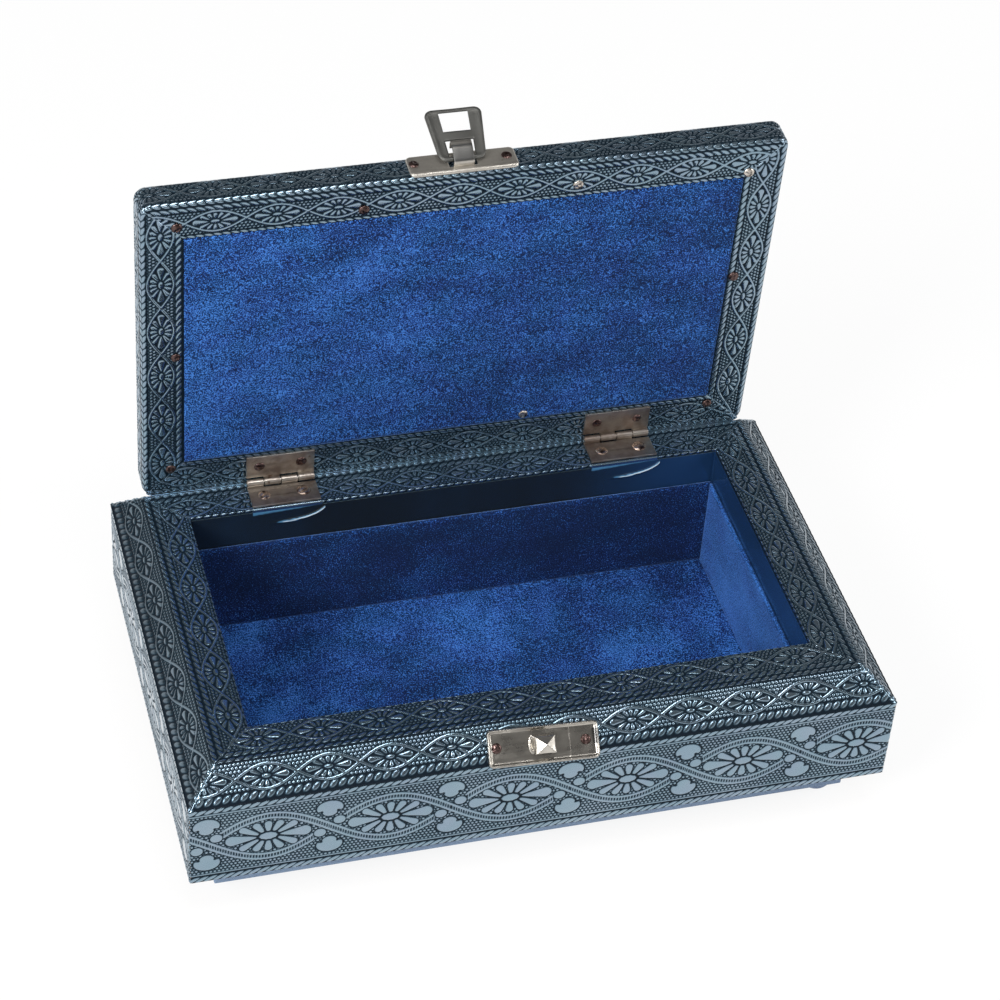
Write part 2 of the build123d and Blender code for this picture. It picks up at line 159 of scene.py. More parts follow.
lipLook = {"dark": (0.0090, 0.0125, 0.0145), "light": (0.0100, 0.019, 0.032), "blue": (0.0120, 0.040, 0.105),
           "band": (0.075, 0.22, 0.38), "crease": (0.62, 0.72, 0.80), "roughness": 0.16,
           "streakScale": (38.0, 38.0, 6.0), "scuffScale": 700.0, "lightAt": (0.4, 0.8), "blueAt": (0.03, 0.075),
           "bandAt": (0.95, 1.3), "creaseHighlightAt": (1.12, 1.35)}


def lipFinish():
    # smooth lacquered band with upright streaks where the sheet was drawn over the arris, bluer toward the right
    # (blueAt is metres along x); relief near 1 is rubbed to a blue band, and above it the crease gets a painted
    # highlight, near white
    f, look = Finish("smooth lacquered band"), lipLook
    place, relief = f.place(), f.attribute("relief")
    streak = f.noise(f.stretched(place, *look["streakScale"]), 1.0, 2.0)
    scuff = f.noise(place, look["scuffScale"], 3.0, 0.6)
    colour = f.mix(f.between(streak, *look["lightAt"]), look["dark"], look["light"])
    colour = f.mix(f.between(f.split(place, 0), *look["blueAt"]), colour, look["blue"])
    colour = f.mix(f.between(relief + (streak + scuff) * 0.25, *look["bandAt"]), colour, look["band"])
    colour = f.mix(f.between(relief + scuff * 0.1, *look["creaseHighlightAt"]), colour, look["crease"])
    return f.surface({"Base Color": colour, "Metallic": 0.2, "Roughness": look["roughness"] + scuff * 0.12,
                      "Coat Weight": 0.25, "Coat Roughness": 0.08, "Normal": f.bump(streak, 0.0004, 0.35)})


velvetLook = {"deep": (0.0030, 0.0095, 0.040), "base": (0.0075, 0.053, 0.195), "violet": (0.0120, 0.045, 0.215),
              "bright": (0.050, 0.175, 0.52), "sheen": (0.20, 0.38, 0.85), "brushedScale": 42.0,
              "tuftScale": 2500.0, "clumpScale": 900.0, "hueScale": 95.0, "brushed": 1.4, "tuft": 5.2, "clump": 0.7,
              "level": 0.47, "violetAt": (0.35, 0.65), "baseAt": (0.05, 0.6), "brightAt": (0.55, 1.0)}


def velvetFinish(name, paintedLight, cloud, paintedFalloff=0.0):
    # short pile: fine specks of lit and shaded tufts over broad brushed patches; the level given for each velvet is
    # painted light above 0 and painted shade below it, and painted shade deepens by the falloff for each metre of x, so
    # lean carries pile and painted light together
    f, look = Finish(name), velvetLook
    place = f.place()
    brushed = f.noise(f.stretched(place, 1.0, 1.0, 1.5), look["brushedScale"], 4.0, 0.62)
    tuft = f.noise(place, look["tuftScale"], 2.0, 0.7)
    clump = f.noise(place, look["clumpScale"], 2.0, 0.6)
    lean = f.clamp((brushed - 0.5) * cloud * look["brushed"] + (tuft - 0.5) * look["tuft"]
                   + (clump - 0.5) * look["clump"] + look["level"] + paintedLight - f.split(place, 0) * paintedFalloff)
    hue = f.between(f.noise(place, look["hueScale"], 2.0), *look["violetAt"])
    colour = f.mix(f.between(lean, *look["baseAt"]), look["deep"], f.mix(hue, look["base"], look["violet"]))
    colour = f.mix(f.between(lean, *look["brightAt"]), colour, look["bright"])
    return f.surface({"Base Color": colour, "Roughness": 0.95, "Specular IOR Level": 0.12,
                      "Sheen Weight": 0.55, "Sheen Roughness": 0.35, "Sheen Tint": (*look["sheen"], 1.0),
                      "Normal": f.bump(tuft + clump * 0.5, 0.00018, 0.7)})


nickelLook = {"bright": (0.60, 0.565, 0.51), "dull": (0.205, 0.192, 0.172), "brown": (0.185, 0.142, 0.118),
              "grey": (0.135, 0.134, 0.126), "rust": (0.13, 0.07, 0.045), "paintedShade": (0.045, 0.048, 0.052),
              "patchScale": 140.0, "rolledScale": (60.0, 1500.0, 1500.0), "spotScale": 420.0,
              "dullAt": (0.3, 0.7), "rustAt": (0.64, 0.78), "roughAt": (0.3, 0.75)}


def nickelFinish(name, dullness, rust, roughness=0.16, dull="dull"):
    # plating that has gone dull in patches, with fine rolling marks along x; a painted shade attribute blackens it
    f, look = Finish(name), nickelLook
    place = f.place()
    patch = f.noise(place, look["patchScale"], 4.0, 0.6)
    rolled = f.noise(f.stretched(place, *look["rolledScale"]), 1.0, 2.0)
    spot = f.noise(place, look["spotScale"], 3.0, 0.65)
    colour = f.mix(f.clamp(f.between(patch, *look["dullAt"]) * 0.6 + dullness), look["bright"], look[dull])
    colour = f.mix(f.between(spot, *look["rustAt"]) * rust, colour, look["rust"])
    colour = f.mix(f.attribute("paintedShade"), colour, look["paintedShade"])
    return f.surface({"Base Color": colour, "Metallic": 1.0,
                      "Roughness": f.between(patch, *look["roughAt"]) * 0.2 + rolled * 0.12 + roughness,
                      "Normal": f.bump(rolled + spot * 0.4, 0.00002, 0.2)})


nailLook = {"copper": (0.115, 0.074, 0.068), "dark": (0.035, 0.02, 0.018), "steel": (0.60, 0.55, 0.49),
            "rubbed": (0.46, 0.36, 0.29), "dentScale": 1300.0, "tarnishScale": 650.0,
            "tarnishAt": (0.42, 0.68), "roughAt": (0.3, 0.7)}


def nailFinish(name, head):
    # hammered heads: the head's colour, with tarnish in patches
    f, look = Finish(name), nailLook
    place = f.place()
    dent = f.noise(place, look["dentScale"], 2.0, 0.6)
    tarnish = f.noise(place, look["tarnishScale"], 2.0)
    colour = f.mix(f.between(tarnish, *look["tarnishAt"]), look[head], look["dark"])
    return f.surface({"Base Color": colour, "Metallic": 0.95,
                      "Roughness": f.between(dent, *look["roughAt"]) * 0.2 + 0.2, "Normal": f.bump(dent, 0.0001, 0.6)})


# name, colour where the paint lies thick and where it is thin, fineness of the brush marks
paintLook = {"board": ("pale blue board", (0.175, 0.265, 0.40), (0.115, 0.175, 0.28), 1.0),
             "foot": ("blue-grey foot", (0.10, 0.16, 0.28), (0.06, 0.10, 0.19), 3.0),
             "wood": ("bare softwood", (0.42, 0.27, 0.14), (0.25, 0.15, 0.07), 1.0)}


def paintFinish(name, light, dark, scale):
    # brushed paint on wood, thin at places; the marks run along x
    f = Finish(name)
    brush = f.noise(f.stretched(f.place(), 12.0, 240.0, 240.0), scale, 3.0)
    colour = f.mix(f.between(brush, 0.35, 0.7), light, dark)
    return f.surface({"Base Color": colour, "Roughness": brush * 0.2 + 0.4, "Normal": f.bump(brush, 0.0001, 0.4)})


finishes = {
    "embossed": embossedFinish(),
    "lip": lipFinish(),
    # the velvets are lit and shaded copies: their levels are painted light and shade, darkest on the back wall and
    # lightest on the right wall
    "velvet": velvetFinish("royal blue velvet", paintedLight=-0.12, cloud=0.8, paintedFalloff=1.5),
    "velvetFloor": velvetFinish("royal blue velvet, brushed", paintedLight=-0.14, cloud=1.3),
    "velvetShade": velvetFinish("royal blue velvet, nap down", paintedLight=-0.5, cloud=0.9),
    "velvetLit": velvetFinish("royal blue velvet, nap up", paintedLight=0.14, cloud=1.0),
    "nickel": nickelFinish("tarnished nickel", dullness=0.15, rust=0.35),
    "plate": nickelFinish("rubbed nickel", dullness=-0.15, rust=0.5, roughness=0.34),
    "bright": nickelFinish("bright nickel", dullness=0.0, rust=0.25),
    "leaf": nickelFinish("rubbed brown nickel", dullness=0.38, rust=1.0, roughness=0.26, dull="brown"),
    "hasp": nickelFinish("dull nickel", dullness=1.0, rust=0.3, roughness=0.36, dull="grey"),
    "nail": nailFinish("copper nail", "copper"),
    "rawNail": nailFinish("brown nail with rubbed head", "rubbed"),
    "paleNail": nailFinish("pale nail", "steel"),
    **{key: paintFinish(*look) for key, look in paintLook.items()},
}
print("finishes made:", len(finishes))


def smooth(low, high, x):  # 3t^2 - 2t^3 with t = (x - low) / (high - low)
    t = np.clip((x - low) / (high - low), 0, 1)
    return t * t * (3 - 2 * t)


def wrapped(x, period):  # distance to the nearest multiple of the period, with its sign
    return x - period * np.round(x / period)


def ridge(distance, half):  # half round: sqrt(1 - (d / half)^2)
    return np.sqrt(np.clip(1 - (distance / half) ** 2, 0, 1))


# eyeFlower is a flower's size in u and in v against the wall's, and the height of wave that this suits
ornament = {"ropePitch": 2.45, "ropeFill": 0.48, "beadPitch": 1.143, "beadRow": 1.0, "beadRadius": 0.59,
            "beadTall": 0.97, "eyePitch": 17.15, "eyeLine": 0.46, "eyeFlower": (0.53, 0.49, 3.4), "eyeGap": 0.55}


def rope(u, v, centre, half, slant=1.0, full=0.0):
    # leaning lozenges: (1 - across^p - along^q)^s, along measured on lines that lean by slant; full 0 is flat on
    # top (p 2.6, q 3, s 0.5), full 1 is a dome (p 2.1, q 2.1, s 0.8)
    pitch = ornament["ropePitch"]
    across = np.abs(v - centre) / half
    along = np.abs(wrapped(u - slant * (v - centre), pitch)) / (ornament["ropeFill"] * pitch)
    return np.clip(1 - across ** (2.6 - 0.5 * full) - along ** (3 - 0.9 * full), 0, 1) ** (0.5 + 0.3 * full)


def beads(u, v):
    # staggered rows of small domes: (1 - (distance / radius)^2)^0.85 from the nearer of two lattices
    pitch, row = ornament["beadPitch"], ornament["beadRow"]
    one = wrapped(u, pitch) ** 2 + wrapped(v, 2 * row) ** 2
    two = wrapped(u - pitch / 2, pitch) ** 2 + wrapped(v - row, 2 * row) ** 2
    return ornament["beadTall"] * np.clip(1 - np.minimum(one, two) / ornament["beadRadius"] ** 2, 0, 1) ** 0.85


def drop(x, y, root, tip, rootHalf, tipHalf):
    # distance to a drop: a line from root to tip whose half width goes from rootHalf to tipHalf
    reach = math.hypot(tip[0] - root[0], tip[1] - root[1])
    dx, dy = (tip[0] - root[0]) / reach, (tip[1] - root[1]) / reach
    reach -= tipHalf
    t = np.clip((x - root[0]) * dx + (y - root[1]) * dy, 0, reach)
    return np.hypot(x - root[0] - t * dx, y - root[1] - t * dy) - (rootHalf + (tipHalf - rootHalf) * t / reach)


def oval(x, y, a, b):  # near enough the distance to an ellipse
    return (np.hypot(x / a, y / b) - 1) * min(a, b)


# the petals of one quarter: root, tip, half widths there; the last one is the third seen in a mirror
petals = [((3.5, 0.0), (12.0, 0.0), 0.5, 2.0), ((3.1, 1.15), (8.0, 4.2), 0.65, 1.25),
          ((1.7, 2.15), (3.9, 5.5), 0.75, 1.2), ((0.0, 2.55), (0.0, 5.95), 0.85, 1.2),
          ((-1.7, 2.15), (-3.9, 5.5), 0.75, 1.2)]
flowerEye = (2.75, 1.55)


def flower(x, y, gap=0.42):
    # oval eye and twelve petals, mirrored both ways: the least distance, with a groove where two of them meet
    x, y = np.abs(x), np.abs(y)
    far = np.sort(np.stack([drop(x, y, *petal) for petal in petals] + [oval(x, y, *flowerEye)]), axis=0)
    return np.maximum(far[0], (far[0] - far[1] + gap) / 2)


vine = {"pitch": 34.1, "swing": 8.0, "bud": (14.35, 2.1), "budHalf": (1.8, 1.65), "trefoil": 7.3,
        "leafHalf": (3.8, 2.9), "leafCut": 1.2, "lobe": 1.4, "lobeHalf": (2.2, 1.9), "notch": (2.3, 1.35),
        "notchRadius": 0.32, "strand": 0.95, "strandHalf": 0.5, "rungPitch": 0.86, "rungHalf": (0.5, 0.65),
        "end": -12.6, "clearOfStem": (1.45, 1.6)}


def vineWave(rel):  # swing cos(t) over one flower, t = pi rel / pitch, and its slope
    k = np.pi / vine["pitch"]
    return vine["swing"] * np.cos(k * rel), -vine["swing"] * k * np.sin(k * rel)


def vineRelief(u, v, first):
    # v is measured from the middle of the vine; flowers stand at first + pitch k, with trefoils between them and
    # two stems that cross: each is two round strands with rungs between, its wave turned over for the second
    pitch, far = vine["pitch"], 99.0
    rel, gap = wrapped(u - first, pitch), wrapped(u - first - pitch / 2, pitch)
    bud = oval(np.abs(rel) - vine["bud"][0], np.sign(rel) * v + vine["bud"][1], *vine["budHalf"])
    solid = np.minimum(flower(rel, v), bud)
    high = np.abs(v) - vine["trefoil"]
    trefoil = np.minimum(np.maximum(oval(gap, high, *vine["leafHalf"]), -vine["leafCut"] - high),
                         oval(gap, high + vine["lobe"], *vine["lobeHalf"]))
    notch = np.hypot(np.abs(gap) - vine["notch"][0], high + vine["notch"][1]) - vine["notchRadius"]
    solid = np.minimum(solid, np.maximum(trefoil, -notch))
    table = np.linspace(-pitch / 2, pitch / 2, 400)
    slopes = np.hypot(1, vineWave(table)[1])
    run = np.concatenate([[0], np.cumsum((slopes[1:] + slopes[:-1]) / 2 * (table[1] - table[0]))])
    wave, slope = vineWave(rel)
    lines, inside = 0.0, far
    for side in (1, -1):
        away = (v - side * wave) / np.hypot(1, slope)
        away = np.abs(np.where(side * rel > vine["end"], away, far))
        rung = 0.5 + 0.5 * np.cos(2 * np.pi * np.interp(rel, table, run) / vine["rungPitch"])
        lines = np.maximum(lines, 0.95 * ridge(away - vine["strand"], vine["strandHalf"]))
        lines = np.maximum(lines, (0.05 + 0.85 * rung) * (1 - smooth(*vine["rungHalf"], away)))
        inside = np.minimum(inside, away)
    clear = smooth(0.12, 0.32, solid) * smooth(*vine["clearOfStem"], inside)
    lines = lines * smooth(0.05, 0.25, solid)
    dome = smooth(-0.12, 0.24, -solid) * (0.86 + 0.14 * smooth(0.3, 1.2, -solid))
    return np.maximum(np.maximum(dome, lines), beads(u, v) * clear)


# ropes as (middle, half width, slant)
wallPlan = {"middle": 14.0, "from": (2.5, 2.9), "to": (25.1, 25.5), "lines": (2.25, 25.75), "lineHalf": 0.36,
            "ropes": ((0.45, 1.1, 1.5), (27.15, 1.0, 1.1))}


def wallRelief(first):
    # rope, groove, thin line, vine on beads, thin line, groove, rope: the greatest of them
    def relief(u, v):
        plan = wallPlan
        height = vineRelief(u, v - plan["middle"], first) * smooth(*plan["from"], v) * (1 - smooth(*plan["to"], v))
        for line in plan["lines"]:
            height = np.maximum(height, 0.85 * ridge(v - line, plan["lineHalf"]))
        for row in plan["ropes"]:
            height = np.maximum(height, rope(u, v, *row))
        return height
    return relief


def eyeRelief(first, centre, half, ropes, fieldLow, fieldHigh, full=0.25):
    # two crossing waves, half high about the line v = centre, a small flower in every eye, beads round them from
    # fieldLow to fieldHigh, and ropes as in wallPlan; full 1 presses every form into a dome
    def relief(u, v):
        pitch = ornament["eyePitch"]
        k = np.pi / pitch
        wave, slope = half * np.sin(k * (u - first)), half * k * np.cos(k * (u - first))
        steep = np.hypot(1, slope)
        near = np.minimum(np.abs(v - centre - wave), np.abs(v - centre + wave)) / steep
        x = wrapped(u - first - pitch / 2, pitch)
        wide, tall, suits = ornament["eyeFlower"]
        solid = flower(x / wide, (v - centre) / tall * suits / half, ornament["eyeGap"]) * 0.5 - 0.06
        dome = smooth(-0.08, 0.2, -solid) * (0.72 + 0.28 * smooth(0.0, 0.5, -solid))
        dome += full * (1 - (1 - np.clip(-solid / 0.6, 0, 1)) ** 2 - dome)
        inField = smooth(fieldLow, fieldLow + 0.3, v) * (1 - smooth(fieldHigh - 0.3, fieldHigh, v))
        outer = smooth(0.0, 0.4, np.abs(v - centre) - np.abs(wave))  # no beads inside the eyes
        grains = beads(u, v) * smooth(0.45, 0.7, near) * outer * inField
        height = np.maximum(np.maximum(dome, 0.95 * ridge(near, ornament["eyeLine"])), grains)
        for row in ropes:
            height = np.maximum(height, rope(u, v, *row, full))
        return height
    return relief


def sectionRows(start, end, foldA, foldB, step):
    # a straight line from start to end in (inset, height), with half of each fold's arc at its ends;
    # fold = (radius, turn in degrees); v counts along it, and the normal is the line's turned left
    start, end = np.array(start, float), np.array(end, float)
    length = math.hypot(*(end - start))
    along = (end - start) / length
    out = np.array([-along[1], along[0]])
    turnA, turnB = math.radians(foldA[1]) / 2, math.radians(foldB[1]) / 2
    leadA, leadB = foldA[0] * math.tan(turnA), foldB[0] * math.tan(turnB)
    flat = np.arange(math.ceil(leadA / step + 0.2), math.floor((length - leadB) / step - 0.2) + 1) * step
    flat = np.concatenate([[leadA], flat, [length - leadB]])
    arcA = np.linspace(turnA, 0, 1 + max(2, math.ceil(foldA[0] * turnA / step)))[:-1] if turnA else np.zeros(0)
    arcB = np.linspace(0, turnB, 1 + max(2, math.ceil(foldB[0] * turnB / step)))[1:] if turnB else np.zeros(0)
    angle = np.concatenate([arcA, flat * 0, -arcB])
    normal = np.stack([out[0] * np.cos(angle) - out[1] * np.sin(angle),
                       out[0] * np.sin(angle) + out[1] * np.cos(angle)], 1)
    base = np.concatenate([arcA * 0 + leadA, flat, arcB * 0 + length - leadB])
    radius = np.concatenate([arcA * 0 + foldA[0], flat * 0, arcB * 0 + foldB[0]])
    point = start + base[:, None] * along + radius[:, None] * (normal - out)
    v = base - radius * angle
    return {"v": v, "point": point, "normal": normal, "arc": angle != 0}


def meshFromLoops(name, points, loops, total, finishList, faceFinish=None, uv=None, attributes=None, smoothFaces=True):
    # loops runs through the corners of every face and total says how many each has; unused points are dropped
    used, loops = np.unique(loops, return_inverse=True)
    points = points[used] / 1000.0
    mesh = bpy.data.meshes.new(name)
    mesh.vertices.add(len(points))
    mesh.vertices.foreach_set("co", points.astype(np.float32).ravel())
    mesh.loops.add(len(loops))
    mesh.loops.foreach_set("vertex_index", loops.astype(np.int32))
    mesh.polygons.add(len(total))
    mesh.polygons.foreach_set("loop_start", np.concatenate([[0], np.cumsum(total)[:-1]]).astype(np.int32))
    mesh.polygons.foreach_set("use_smooth", np.full(len(total), smoothFaces))
    for finish in finishList:
        mesh.materials.append(finish)
    if faceFinish is not None:
        mesh.polygons.foreach_set("material_index", faceFinish.astype(np.int32))
    mesh.update(calc_edges=True)
    if uv is not None:
        layer = mesh.uv_layers.new(name="sheet")
        layer.data.foreach_set("uv", (uv[used][loops] / 1000.0).astype(np.float32).ravel())
    for key, values in (attributes or {}).items():
        mesh.attributes.new(key, "FLOAT", "POINT").data.foreach_set("value", values[used].astype(np.float32))
    mesh.validate()
    piece = bpy.data.objects.new(name, mesh)
    bpy.context.scene.collection.objects.link(piece)
    return piece


def settle(piece, node, body):  # what a new piece stands for, which is hidden, and what it rides on
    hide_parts(node)
    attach(piece, body)
    return piece


def gridCells(ids):  # the faces of a grid of point numbers, four corners each
    return np.stack([ids[:-1, :-1].ravel(), ids[:-1, 1:].ravel(), ids[1:, 1:].ravel(), ids[1:, :-1].ravel()], 1)


def closedCard(top, back):
    # a grid of points closed by its own outline moved to the back, one face wide round the edge and one behind;
    # returns points, loops, total and the numbers of the outline's points
    ids = np.arange(top[..., 0].size).reshape(top.shape[:2])
    ring = np.concatenate([ids[0, :-1], ids[:-1, -1], ids[-1, :0:-1], ids[:0:-1, 0]])
    corner = ids.size + np.arange(len(ring))
    faces = np.concatenate([gridCells(ids), np.stack([np.roll(ring, -1), ring, corner, np.roll(corner, -1)], 1)])
    points = np.concatenate([top.reshape(-1, 3), back.reshape(-1, 3)[ring]])
    return points, np.concatenate([faces.ravel(), corner[::-1]]), np.append(np.full(len(faces), 4), len(corner)), ring


pressing = {"depth": 0.32, "thickness": 0.385, "columnStep": 1.143 / 4, "rowStep": 0.25, "coarseRow": 0.3333,
            "edgeHeight": 0.9, "foldedFlatter": 0.6, "bandHeight": 0.6, "backHeight": 0.3, "uneven": 0.05,
            "cornerRound": 0.13, "lidCorner": (3.6, 0.3), "trayCorner": (0.5, 0.5)}

# the hinge's line, the open lid's lean from upright as sine and cosine, how far the lid's underside stands from the
# line (the rim as far on its other side), and the middles of the leaves
hinge = {"y": 53.2, "z": 54.95, "sine": 0.06453, "cosine": 0.99792, "gap": 1.45, "leafX": 52.0}
lidAxes = {"x": np.array([1.0, 0, 0]), "y": np.array([0, hinge["sine"], -hinge["cosine"]]),
           "up": np.array([0, hinge["cosine"], hinge["sine"]])}
lidOrigin = np.array([0, hinge["y"], hinge["z"]]) - hinge["y"] * lidAxes["y"] + hinge["gap"] * lidAxes["up"]
baseAxes = {"x": np.array([1.0, 0, 0]), "y": np.array([0, 1.0, 0]), "up": np.array([0, 0, 1.0])}
sides = {"front": (0, -1), "right": (1, 0), "back": (0, 1), "left": (-1, 0)}


def wobble(place):  # hand-beaten unevenness, 0 to 1: three slow waves added
    x, y, z = place[..., 0], place[..., 1], place[..., 2]
    waves = (np.sin(0.31 * x + 0.23 * y + 0.9) + np.sin(0.17 * x - 0.29 * y + 0.41 * z + 2.1)
             + np.sin(0.53 * x + 0.47 * z))
    return 0.5 + waves / 6


def roundCorner(along, inset, half, reach, radius, least):
    # in plan every line of the sheet turns the corner on an arc whose radius shrinks with the inset: within r of
    # the mitre, (r - m, r) becomes (r - m, r) r / hypot(r - m, r), m the way left to the mitre
    r = np.maximum(radius - np.clip(inset, 0, None), least)
    bx = r - (half - inset - np.abs(along))
    k = np.where(bx > 0, r / np.hypot(bx, r), 1.0)
    return np.where(bx > 0, np.sign(along) * (half - inset - r + bx * k), along), reach - inset - r + r * k


def pressedStrip(name, node, body, side, rows, relief, phase=0.0, columnStep=None, finishRows=None, buckle=None,
                 plainBelow=None, plain=None, seamWide=0.4, paintedBevelShade=None, cornerRound=pressing["cornerRound"]):
    # point = outward (reach - inset) + run u + up height; ends are cut on the mitre planes |u| = half - inset.
    # The face sinks by depth (1 - relief) along the row's normal; the back is the same section, thickness below.
    # finishRows marks the smooth band, buckle sinks the face further, plain and plainBelow leave it unpressed,
    # seamWide is how far the relief fades at a mitre, and the painted shade argument gives how much of it keeps the
    # crests dark at each point.
    onLid = body == "lid"
    axes, origin, shape = (lidAxes, lidOrigin, lid) if onLid else (baseAxes, np.zeros(3), tray)
    ox, oy = sides[side]
    outward = ox * axes["x"] + oy * axes["y"]
    run = -oy * axes["x"] + ox * axes["y"]
    reach, half = (shape["halfY"], shape["halfX"]) if oy else (shape["halfX"], shape["halfY"])
    step = columnStep or pressing["columnStep"]
    count = math.floor((half - 0.05) / step)
    inner = phase + step * np.arange(-count - 2, count + 3)
    u = np.concatenate([[-half], inner[np.abs(inner) < half - 0.05], [half]])
    v, point, normal = rows["v"], rows["point"], rows["normal"]
    edge, thick = pressing["edgeHeight"], pressing["thickness"]
    folded = np.where(rows["arc"], 1.0, 0.0)[:, None]
    depth = pressing["depth"] * (1 - pressing["foldedFlatter"] * folded)

    # height is 0 at the bottom of the relief and 1 on its crests; it levels out toward the mitres
    height = relief(u[None, :], v[:, None])
    mitre = half - point[:, :1] - np.abs(u)[None, :]
    crumple = 1 if seamWide < 1 else 0.75 + 0.25 * np.sin(2.3 * v + 0.5)[:, None] + 0.2 * np.sin(5.9 * v)[:, None]
    height = edge + (height - edge) * smooth(0.05, seamWide * crumple, mitre)
    if finishRows is not None:
        height = np.where(finishRows[:, None], pressing["bandHeight"], height)
    if plainBelow is not None:  # an unpressed selvage beside the fold
        height = np.maximum(height, 1 - smooth(plainBelow, plainBelow + 0.4, np.abs(v))[:, None])
    if plain is not None:
        height = np.maximum(height, plain(u[None, :], v[:, None]))
    smoothBand = np.zeros(len(v)) if finishRows is None else finishRows * 1.0
    sink = depth * (1 - height) * (1 - 0.95 * smoothBand[:, None])
    slow = wobble(u[None, :, None] * run + (point[:, 1:, None] * axes["up"]) - point[:, :1, None] * outward)
    seam = np.minimum(np.abs(v - v[0]), np.abs(v - v[-1]))[:, None]
    sink = sink + pressing["uneven"] * slow * smooth(0.3, 3.0, mitre) * smooth(0.5, 2.5, seam)
    sink = sink + cornerRound * (1 - smooth(0.0, 0.9, mitre)) * (1 - 0.6 * folded)
    if buckle is not None:
        sink = sink + buckle(u[None, :], v[:, None])
    endSink = depth[:, 0] * (1 - edge) + cornerRound * (1 - 0.6 * folded[:, 0])
    limit = half - (point[:, 0] - normal[:, 0] * endSink)
    uTop = np.clip(u[None, :], -limit[:, None], limit[:, None])
    inset = point[:, :1] - normal[:, :1] * sink
    tall = point[:, 1:] - normal[:, 1:] * sink
    corner, least = pressing["lidCorner"] if onLid else pressing["trayCorner"]
    alongTop, outTop = roundCorner(uTop, inset, half, reach, corner, least)
    top = outTop[..., None] * outward + alongTop[..., None] * run + tall[..., None] * axes["up"]

    # the back is smooth, so it has only the rows of the folds and one in twelve between them
    kept = np.flatnonzero(rows["arc"] | np.roll(rows["arc"], 1) | np.roll(rows["arc"], -1)
                          | (np.arange(len(v)) % 12 == 0) | (np.arange(len(v)) == len(v) - 1))
    backPoint = point[kept] - normal[kept] * thick
    backLimit = half - backPoint[:, 0]
    uBack = np.clip(u[None, :], -backLimit[:, None], backLimit[:, None])
    alongBack, outBack = roundCorner(uBack, backPoint[:, :1] * np.ones_like(uBack), half, reach, corner, least)
    back = outBack[..., None] * outward + alongBack[..., None] * run \
        + (backPoint[:, 1:] * np.ones_like(uBack))[..., None] * axes["up"]

    columns = np.arange(len(u))

    def grid(limits, offset):  # point numbers; beyond the mitre a row repeats its last point
        low = np.searchsorted(u, -limits, side="right") - 1
        high = np.searchsorted(u, limits, side="left")
        cut = np.clip(columns[None, :], low[:, None], high[:, None])
        return offset + np.arange(len(limits))[:, None] * len(u) + cut

    ids = grid(limit, 0)
    backIds = grid(backLimit, ids.size)
    faces = [gridCells(ids), gridCells(backIds)[:, [0, 3, 2, 1]],
             np.stack([ids[0, 1:], ids[0, :-1], backIds[0, :-1], backIds[0, 1:]], 1),
             np.stack([ids[-1, :-1], ids[-1, 1:], backIds[-1, 1:], backIds[-1, :-1]], 1)]
    mark = np.zeros(sum(len(x) for x in faces), int)
    if finishRows is not None:
        mark[:len(faces[0])] = np.repeat((finishRows[:-1] & finishRows[1:]).astype(int), len(u) - 1)
    faces = np.concatenate(faces)
    keep = faces != np.roll(faces, 1, axis=1)  # a repeated corner goes, and so does a face left with two
    total = keep.sum(1)
    good = total > 2
    leftCap = np.concatenate([ids[:, 0], backIds[::-1, 0]])
    rightCap = np.concatenate([ids[::-1, -1], backIds[:, -1]])
    loops = np.concatenate([faces[good][keep[good]], leftCap, rightCap])
    total = np.concatenate([total[good], [len(leftCap), len(rightCap)]])
    mark = np.concatenate([mark[good], [0, 0]])

    points = np.concatenate([top.reshape(-1, 3), back.reshape(-1, 3)]) + origin
    tone = np.concatenate([height.ravel(), np.full(back.size // 3, pressing["backHeight"])])
    uv = np.concatenate([np.stack(np.broadcast_arrays(uTop, v[:, None]), 2).reshape(-1, 2),
                         np.stack(np.broadcast_arrays(uBack, v[kept][:, None]), 2).reshape(-1, 2)])
    dark = np.zeros(len(points)) if paintedBevelShade is None else paintedBevelShade(points)
    piece = meshFromLoops(name, points, loops, total, [finishes["embossed"], finishes["lip"]], mark, uv,
                          {"relief": tone, "paintedBevelShade": dark})
    settle(piece, node, body)


half2 = 0.5 ** 0.5  # sine and cosine of the bevel's 45 degrees
# the lip's smooth band starts at bandFrom along the rim, and close rows go creasesTo down the lip at the back
tray = {"halfX": 101.5, "halfY": 63.5, "wallLow": 17.0, "wallHigh": 45.0, "bevel": 8.5, "rimHigh": 53.5,
        "lip": 20.5, "lipLow": 39.7, "fold": 0.75, "backFold": 0.3, "arris": 0.5, "hang": 0.7,
        "bandFrom": 12.9, "creasesTo": 5.6, "selvage": 0.5}
# where each side's ornament starts; a Plan holds the rest of eyeRelief's numbers
vineStart = {"front": -79.5, "right": -62.9, "back": 7.6, "left": 5.6}
bevelStart = {"front": -87.75, "right": 3.0, "back": -4.1, "left": -6.3}
rimStart = {"front": -70.75, "right": 2.3, "back": 3.3, "left": -5.1}
bevelPlan = (6.85, 3.35, [(2.05, 1.35, 0.6)], 3.5, 11.7, 1.0)
rimPlan = (7.35, 3.6, [(0.6, 0.95, 1.1), (2.75, 0.95, 1.1), (12.1, 0.9, 0.6)], 3.7, 11.3, 0.5)
trayFold = (tray["fold"], 45)

# sides that are seen less have coarser rows; the sheet hangs a little below the moulding
wallRows, coarseWallRows = (
    sectionRows((0, tray["wallLow"] - tray["hang"]), (0, tray["wallHigh"]), (0, 0), trayFold, pressing[step])
    for step in ("rowStep", "coarseRow"))
for rows in (wallRows, coarseWallRows):
    rows["v"] -= tray["hang"]
bevelRows, coarseBevelRows = (
    sectionRows((0, tray["wallHigh"]), (tray["bevel"], tray["rimHigh"]), trayFold, trayFold, pressing[step])
    for step in ("rowStep", "coarseRow"))


